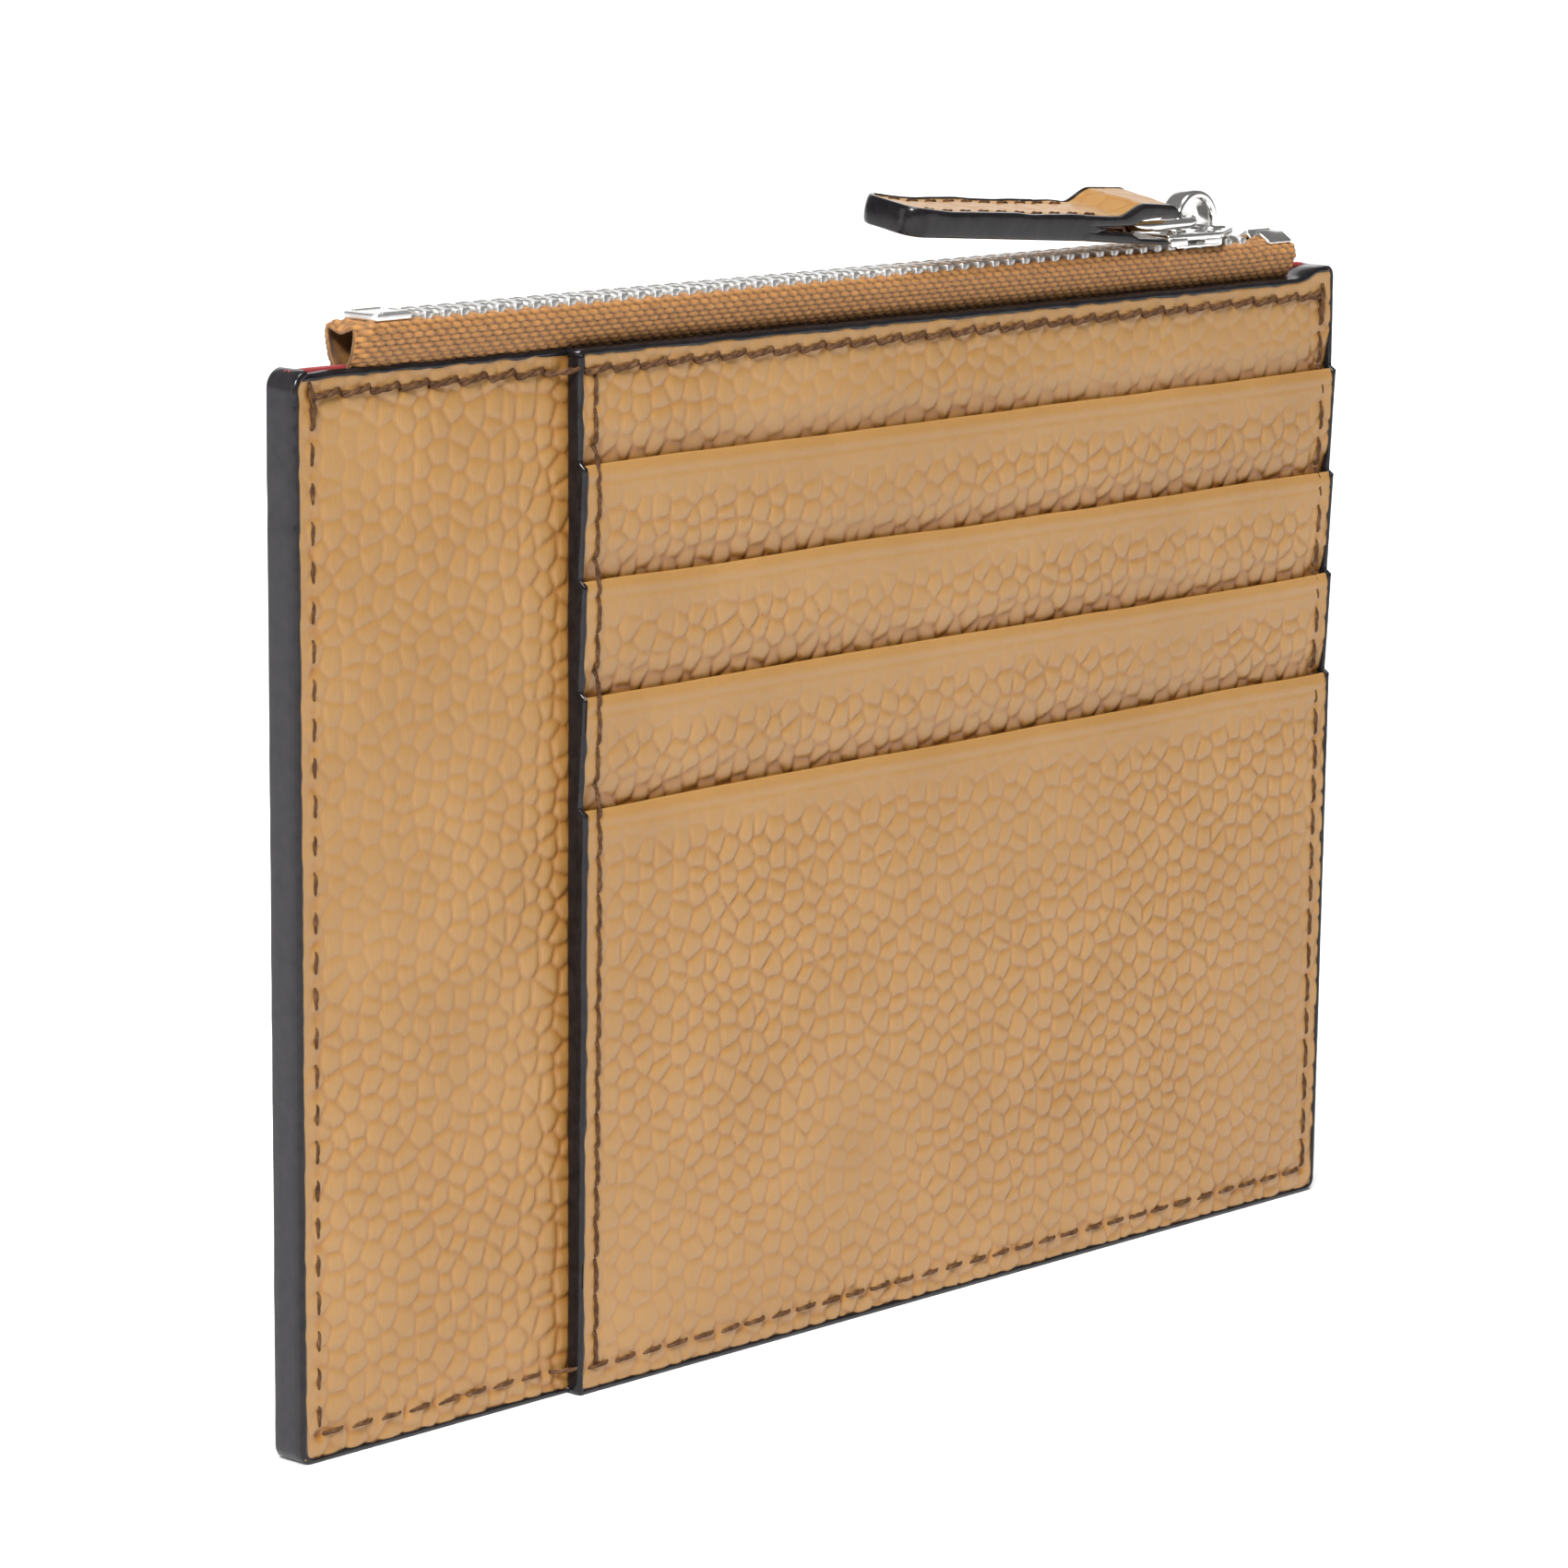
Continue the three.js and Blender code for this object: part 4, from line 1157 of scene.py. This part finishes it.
clipSizes = {
    "left": 56.5,
    "right": 59.95,
    "long": 1.62,
    "cut": 0.25,  # at the two lower corners
    "leaves": ((0.42, 0.36), (-0.42, 0.3)),  # place across the tape, thickness
    "lean": math.atan2(0.96, 1.48),
}


# The top stops are clips folded over the ends of the tapes, which lean together there.
def buildTopStops():
    left, right, long, cut = (clipSizes[k] for k in ("left", "right", "long", "cut"))
    lean = clipSizes["lean"]
    for name, side, node in (("topStopFront", -1, "top_stop_front"), ("topStopBack", 1, "top_stop_back")):
        clip = Collector()
        for out, thick in clipSizes["leaves"]:
            outline = [
                (left, -0.28), (right, -0.28), (right, 1.45),
                (right - cut, long), (left + cut, long), (left, 1.45),
            ]
            points, faces = plateSolid(outline, out - thick / 2, out + thick / 2, 0.13)
            clip.add(points, faces)
        bridge = [(left, -0.3), (right, -0.3), (right, 0.12), (left, 0.12)]
        clip.add(*plateSolid(bridge, -0.5, 0.52, 0.12))
        points, faces = clip.all()
        along, out = points[:, 1].copy(), points[:, 2].copy()
        y = 0.52 + along * math.cos(lean) + out * math.sin(lean)
        z = chain["tape"] + 0.49 - along * math.sin(lean) + out * math.cos(lean)
        placed = zipPlace(np.stack([points[:, 0], side * y, z], 1))
        turned = faces if side < 0 else flipped(faces)
        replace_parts(makePiece(name, placed, turned, "pouch", "steel", steel), node)


print("zip")
buildTapes()
buildTeeth()
buildBottomStop()
buildTopStops()

slider = {
    "tail": 41.5,
    "shoulder": 48.4,
    "nose": 53.0,
    "bottom": 93.05,
    "top": 93.65,
    "bail": 47.3,  # middle of the bail along X
    "bailHeight": 94.4,
    "bailRadius": 2.575,
    "bailThick": 0.85,
    "bailWidth": 2.3,
}


# A tube through a closed loop of points.
def loopTube(line, radius, sides):
    line = np.asarray(line, dtype=float)
    ahead = np.roll(line, -1, axis=0) - np.roll(line, 1, axis=0)
    ahead /= np.linalg.norm(ahead, axis=1)[:, None]
    up = np.broadcast_to(np.array([0.0, 0.0, 1.0]), line.shape)
    points = line[:, None] + circles(np.cross(ahead, up), up, sides) * radius
    rows = len(line)
    faces = []
    for i in range(rows):
        for j in range(sides):
            k, m = (i + 1) % rows, (j + 1) % sides
            faces.append([i * sides + j, k * sides + j, k * sides + m, i * sides + m])
    return points.reshape(-1, 3), faces


def buildSlider():
    tail, shoulder, nose = slider["tail"], slider["shoulder"], slider["nose"]
    low, high = slider["bottom"], slider["top"]
    body = Collector()
    nearSide = [
        (tail, -2.45), (tail + 0.5, -2.75), (shoulder - 0.4, -3.25), (shoulder + 0.2, -3.1),
        (nose - 0.9, -1.15), (nose - 0.2, -0.8), (nose, -0.4),
    ]
    outline = nearSide + [(x, -y) for x, y in nearSide[::-1]]
    body.add(*plateSolid(outline, low, high, 0.17))
    under = chain["top"] - 0.4

    # One bent-down wall of the plate. The walls follow the plate's sides, which spread towards the shoulder.
    def addWall(side, fromX, toX, bottom, top):
        def edge(x, out):
            return x, side * (out + 0.5 * (x - tail) / (shoulder - tail))

        outer, inner = 2.74, 2.3
        points = [edge(fromX, outer), edge(toX, outer), edge(toX, inner), edge(fromX, inner)]
        body.add(*plateSolid(points, bottom, top, 0.1, 2))

    for side in (-1, 1):
        addWall(side, tail + 0.15, tail + 2.3, under + 0.1, low + 0.3)
        addWall(side, tail + 4.6, shoulder - 0.1, under, low + 0.3)
        addWall(side, tail + 0.9, shoulder - 0.3, under - 0.06, under + 0.28)
    # the raised rib along the nose and the feet of the bail
    points, faces = loftedBlock([(y, 0.95, high - 0.2, high + 0.14) for y in (-0.32, 0.32)], 0.12)
    body.add(points + [nose - 1.7, 0, 0], faces)
    points, faces = loftedBlock([(y, 0.62, high - 0.1, high + 0.2) for y in (-1.35, 1.35)], 0.16)
    for sign in (-1, 1):
        body.add(points + [slider["bail"] + sign * slider["bailRadius"], 0, 0], faces)
    points, faces = body.all()
    plate = makePiece("sliderPlate", zipPlace(points), faces, "slider", "steel", steel)
    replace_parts(plate, "slider_top_plate")


def buildBail():
    high = slider["top"]
    rows = []
    radius, thick, half = slider["bailRadius"], slider["bailThick"] / 2, slider["bailWidth"] / 2
    foot = slider["bailHeight"] - high
    path = [(radius, -foot), (radius, -foot * 0.5)]
    path += [(radius * math.cos(t), radius * math.sin(t)) for t in np.linspace(0, math.pi, 33)]
    path += [(-radius, -foot * 0.5), (-radius, -foot)]
    for px, pz in path:
        out = np.array([px, max(pz, 0.0)]) / math.hypot(px, max(pz, 0.0))
        section = []
        for t in np.linspace(0, 2 * math.pi, 20, endpoint=False):
            a = abs(math.cos(t)) ** 0.6 * math.copysign(1, math.cos(t)) * thick
            b = abs(math.sin(t)) ** 0.6 * math.copysign(1, math.sin(t)) * half
            section.append((slider["bail"] + px + out[0] * a, b, slider["bailHeight"] + pz + out[1] * a))
        rows.append(section)
    bail = makePiece("bail", *skinOf(zipPlace(rows)), "slider", "steel", steel)
    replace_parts(bail, "slider_bail")


pullFrame = {
    "bar": 37.9,  # the ring's bar that the pull hangs on
    "ringEnd": 46.6,
    "ringHalf": 2.0,
    "wire": 0.5,
    "corner": 1.1,
    "roll": 9.0,  # degrees: the near side hangs lower
    "tilt": 4.0,  # degrees: how much the pull leans
    "level": 94.88,  # height of the bar
}


# From the ring's or the pull's own frame to the pouch: rolled about X, leaning about Y, tipped with the zip.
def leaning(points, degrees):
    a, r = math.radians(degrees), math.radians(pullFrame["roll"])
    p = np.asarray(points, dtype=float)
    y = p[..., 1] * math.cos(r) - p[..., 2] * math.sin(r)
    z = p[..., 1] * math.sin(r) + p[..., 2] * math.cos(r)
    along = pullFrame["bar"] + p[..., 0] * math.cos(a) + z * math.sin(a)
    height = pullFrame["level"] - p[..., 0] * math.sin(a) + z * math.cos(a)
    return zipPlace(np.stack([along, y, height], -1))


def buildRing():
    length = pullFrame["ringEnd"] - pullFrame["bar"]
    half, c = pullFrame["ringHalf"], pullFrame["corner"]
    line = []
    for t in np.linspace(-math.pi / 2, math.pi / 2, 22):
        line.append((length - half + half * math.cos(t), half * math.sin(t), 0))
    for t in np.linspace(math.pi / 2, math.pi, 8):
        line.append((c + c * math.cos(t), half - c + c * math.sin(t), 0))
    for t in np.linspace(math.pi, 1.5 * math.pi, 8):
        line.append((c + c * math.cos(t), c - half + c * math.sin(t), 0))
    points, faces = loopTube(line, pullFrame["wire"], 16)
    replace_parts(makePiece("ring", leaning(points, 0), faces, "ring", "steel", steel), "pull_ring")


print("slider and ring")
buildSlider()
buildBail()
buildRing()

pull = {
    "length": 32.0,  # from the ring's bar to the free end
    "half": 3.3,
    "corner": 1.6,
    "leaf": 1.1,
    "split": -7.0,  # the leaves part here
    "upperEnd": 4.0,
    "lowerEnd": 2.8,
    "hump": 1.25,
    "band": 0.36,  # thickness of the edge paint
    "inset": 0.12,  # how far the leaves stay inside the outline
    "seam": 2.1,  # from the middle to each row of stitches
}


def pullPlace(points):
    return leaning(points, pullFrame["tilt"])


# The leaf's upper face, which lifts over the ring.
def upperTop(x, y):
    share = (y + pull["half"]) / (2 * pull["half"])
    start = -4.4 - 0.7 * share
    lift = smoothStep(x, start, start + 3.3) * (pull["hump"] + 0.15 * share)
    curl = 0.6 * smoothStep(x, 2.4, pull["upperEnd"])
    wrinkle = 0.1 * softNoise(x + 0.6 * y, y * 0.5, 2.6, 81) * smoothStep(x, -31, -26)
    end = 0.22 * smoothStep(-x, 27, 31)
    return pull["leaf"] + 0.02 + lift - curl + wrinkle + end


def upperUnder(x):
    places = [-32, -9, -7.2, -2.6, -1.2, 0.8, 2.4, 4.2]
    return np.interp(x, places, [0.02, 0.02, 0.3, 0.45, 1.0, 1.25, 1.33, 1.25])


def lowerTop(x):
    return -np.interp(x, [-32, -9, -7.2, -2.6, -1.2, 2.9], [0.02, 0.02, 0.3, 0.4, 0.9, 0.92])


def lowerUnder(x):
    return -np.interp(x, [-32, -9, -3.4, -1.4, 2.0, 2.9], [1.12, 1.15, 1.3, 1.36, 1.34, 1.14])


# Half width of the pull at x, with its rounded free end.
def pullHalf(x, inset=0.0):
    r = pull["corner"]
    away = np.clip(-pull["length"] + inset + r - np.asarray(x, float), 0, r)
    return pull["half"] - inset - r + np.sqrt(np.maximum(r * r - away * away, 0))


def leafPiece(name, node, upper, endX, seed):
    inset = pull["inset"]
    step = 0.2
    xs = np.arange(-pull["length"] + inset + 0.01, endX + step / 2, step)
    shares = np.linspace(-1, 1, 36)
    x, v = np.meshgrid(xs, shares, indexing="ij")
    y = v * pullHalf(xs, inset)[:, None]
    grainHeight = scaleHeight(x, y, seed)
    edge = 1 - np.abs(v) ** 12
    rough = 0.05 * (grainHeight - 0.9) * edge
    if upper:
        holes = [(hx, side * pull["seam"]) for side in (-1, 1) for hx in pullHoles]
        top, under = upperTop(x, y) + rough - sewnIn(x, y, holes), upperUnder(x)
    else:
        top, under = lowerTop(x), lowerUnder(x) - rough
    upperSide = np.stack([x, y, top], -1)
    lowerSide = np.stack([x, y, under], -1)[:, ::-1]
    ring = np.concatenate([upperSide, lowerSide], 1)
    # painted shade in the grain's valleys
    relief = np.concatenate([1 + 0.6 * (grainHeight - 1), np.ones_like(grainHeight)], 1)
    if not upper:
        relief = relief[:, ::-1]
    points, faces = skinOf(pullPlace(ring))
    piece = makePiece(name, points, flipped(faces), "pull", "grain_leather", leather, relief.reshape(-1))
    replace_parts(piece, node)


pullHoles = np.arange(-30.2, -4.0, 2.4)


# A bead of paint along a line of stations. Each has a place, an outward direction and the bead's heights.
def paintBead(stations, lap, seed):
    rows = []
    for k, (x, y, ox, oy, low, high) in enumerate(stations):
        middle, half = (low + high) / 2, (high - low) / 2
        ripple = 1 + 0.12 * softNoise(k * 0.3, 0, 1.5, seed)
        section = [(-lap, half - 0.05), (-lap * 0.9, half + 0.05)]
        for t in np.linspace(math.pi / 2, -math.pi / 2, 13):
            bulge = abs(math.cos(t)) ** 0.7 * pull["band"] * ripple
            section.append((bulge, (half + 0.05) * math.sin(t)))
        section += [(-lap * 0.9, -half - 0.05), (-lap, -half + 0.05)]
        rows.append([(x + ox * out, y + oy * out, middle + z) for out, z in section])
    return skinOf(rows)


def buildPull():
    leafPiece("pullUpperLeaf", "pull_upper_leaf", True, pull["upperEnd"], 61)
    leafPiece("pullLowerLeaf", "pull_lower_leaf", False, pull["lowerEnd"], 67)
    buildPullPaint()
    buildPullSewing()


# The painted edge: one band round the closed part and a bead along each side of both leaves where they part.
def buildPullPaint():
    half, r, free = pull["half"] - 0.1, pull["corner"], -pull["length"] + pull["inset"]
    outline = [(x, -half, 0, -1) for x in np.arange(pull["split"] + 0.6, free + r, -0.4)]
    for t in np.linspace(1.5 * math.pi, math.pi, 9):
        outline.append((free + r + r * math.cos(t), -half + r + r * math.sin(t), math.cos(t), math.sin(t)))
    outline += [(free, y, -1, 0) for y in np.linspace(-half + r, half - r, 8)[1:-1]]
    for t in np.linspace(math.pi, math.pi / 2, 9):
        outline.append((free + r + r * math.cos(t), half - r + r * math.sin(t), math.cos(t), math.sin(t)))
    outline += [(x, half, 0, 1) for x in np.arange(free + r, pull["split"] + 0.6, 0.4)]
    band = []
    for x, y, ox, oy in outline:
        close = 1 - smoothStep(x, pull["split"] - 2.6, pull["split"] + 0.8)
        low = (float(lowerUnder(x)) + 0.12) * close - 0.05
        band.append((x, y, ox, oy, low, float(upperTop(x, y)) * close + 0.05))
    edge = Collector()
    edge.add(*paintBead(band, 0.3, 91))
    for side in (-1, 1):
        for upper in (True, False):
            end = (pull["upperEnd"] if upper else pull["lowerEnd"]) - 0.1
            line = []
            for x in np.arange(pull["split"] - 4.5, end, 0.3):
                y = side * (half - 0.22 * float(1 - smoothStep(x, pull["split"] - 4.5, pull["split"] - 1.5)))
                if upper:
                    line.append((x, y, 0, side, float(upperUnder(x)) - 0.05, float(upperTop(x, y))))
                else:
                    line.append((x, y, 0, side, float(lowerUnder(x)) + 0.1, float(lowerTop(x)) + 0.05))
            edge.add(*paintBead(line, 0.3, 93 + side))
    points, faces = edge.all()
    makePiece("pullPaint", pullPlace(points), faces, "pull", "edge_paint", paint)


def buildPullSewing():
    for name, node, sign in (
        ("pullStitchesTop", "pull_thread_top", 1), ("pullStitchesBottom", "pull_thread_bottom", -1),
    ):
        sewn = Collector()
        for y in (-pull["seam"], pull["seam"]):
            for a, b in zip(pullHoles[:-1], pullHoles[1:]):
                za = float(upperTop(a, y)) if sign > 0 else float(lowerUnder(a))
                zb = float(upperTop(b, y)) if sign > 0 else float(lowerUnder(b))
                addStitch(sewn, (a, y, za), (b, y, zb), (0, 0, sign), -0.03, 0.11, 0.62, 0.25)
        points, faces = sewn.all()
        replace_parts(makePiece(name, pullPlace(points), faces, "pull", "thread", thread), node)


print("pull")
buildPull()


view = {
    "place": (-0.39407, -0.36249, 0.14779),
    "heading": 46.9,  # degrees from +Y towards +X
    "drop": 10.585,
    "roll": 0.376,
    "lens": 142.8,
}


def placeCamera():
    a, e, r = (math.radians(view[k]) for k in ("heading", "drop", "roll"))
    ahead = Vector((math.sin(a) * math.cos(e), math.cos(a) * math.cos(e), -math.sin(e)))
    right = Vector((math.cos(a), -math.sin(a), 0))
    up = right.cross(ahead)
    tiltedRight = math.cos(r) * right + math.sin(r) * up
    tiltedUp = math.cos(r) * up - math.sin(r) * right
    data = bpy.data.cameras.new("camera")
    data.lens = view["lens"]
    data.sensor_width = 36
    data.clip_start = 0.01
    camera = bpy.data.objects.new("camera", data)
    turn = Matrix((tiltedRight, tiltedUp, -ahead)).transposed().to_4x4()
    camera.matrix_world = Matrix.Translation(view["place"]) @ turn
    bpy.context.scene.collection.objects.link(camera)
    bpy.context.scene.camera = camera


def areaLight(name, place, target, size, watts):
    data = bpy.data.lights.new(name, "AREA")
    data.shape = "RECTANGLE"
    data.size, data.size_y = size
    data.energy = watts
    light = bpy.data.objects.new(name, data)
    light.location = place
    light.rotation_euler = (Vector(target) - Vector(place)).to_track_quat("-Z", "Y").to_euler()
    light.visible_camera = False
    bpy.context.scene.collection.objects.link(light)


studio = {
    "floor": 60,
    "glow": 0.22,  # light from all round
    "sun": 3.3,
    "sunSpread": 0.5,
    "lights": {  # place, target, size and watts
        "keyLight": ((-0.75, -0.42, 0.7), (0, 0, 0.05), (0.2, 0.2), 13),
        "backLight": ((0.9, 1.2, 0.6), (0, 0, 0.06), (1.8, 1.0), 6.5),
        "leftLight": ((-1.0, 0.35, 0.3), (0, 0, 0.05), (0.4, 0.6), 1.5),
    },
}


# The pouch is lit by the world's glow, and the camera sees plain white past the floor.
def buildWorld():
    world = bpy.data.worlds.new("studio")
    bpy.context.scene.world = world
    world.use_nodes = True
    nodes, links = world.node_tree.nodes, world.node_tree.links
    glow = nodes["Background"]
    glow.inputs["Color"].default_value = (1, 1, 1, 1)
    glow.inputs["Strength"].default_value = studio["glow"]
    plainWhite = nodes.new("ShaderNodeBackground")
    plainWhite.inputs["Color"].default_value = (1, 1, 1, 1)
    seen = nodes.new("ShaderNodeLightPath")
    both = nodes.new("ShaderNodeMixShader")
    links.new(seen.outputs["Is Camera Ray"], both.inputs[0])
    links.new(glow.outputs[0], both.inputs[1])
    links.new(plainWhite.outputs[0], both.inputs[2])
    links.new(both.outputs[0], nodes["World Output"].inputs["Surface"])


def buildStudio():
    mesh = bpy.data.meshes.new("floor")
    reach = studio["floor"]
    corners = [(-reach, -reach, 0), (reach, -reach, 0), (reach, reach, 0), (-reach, reach, 0)]
    mesh.from_pydata(corners, [], [(0, 1, 2, 3)])
    pale = [(0.3, (0.93, 0.93, 0.93)), (0.7, (0.95, 0.95, 0.95))]
    mesh.materials.append(dullFinish("paleFloor", 0.01, 2, pale))
    floor = bpy.data.objects.new("floor", mesh)
    bpy.context.scene.collection.objects.link(floor)
    buildWorld()
    for name, settings in studio["lights"].items():
        areaLight(name, *settings)
    above = bpy.data.lights.new("above", "SUN")
    above.energy = studio["sun"]
    above.angle = studio["sunSpread"]
    lamp = bpy.data.objects.new("above", above)
    lamp.rotation_euler = (math.radians(11), math.radians(-7), 0)
    bpy.context.scene.collection.objects.link(lamp)
    bpy.context.scene.view_settings.view_transform = "Standard"


print("studio")
placeCamera()
buildStudio()

# The CAD nodes that stay in sight.
finishes = {
    "front_stiffener": board,
    "back_stiffener": board,
    "front_lining": redCloth,
    "back_lining": redCloth,
    "pocket_lining_1": tanCloth,
    "pocket_lining_2": tanCloth,
    "pocket_lining_3": tanCloth,
    "slider_bottom_plate": steel,
    "pull_tongue": leather,
}
for node, material in finishes.items():
    shown = frame["nodes"][node]
    shown.data.materials.clear()
    shown.data.materials.append(material)
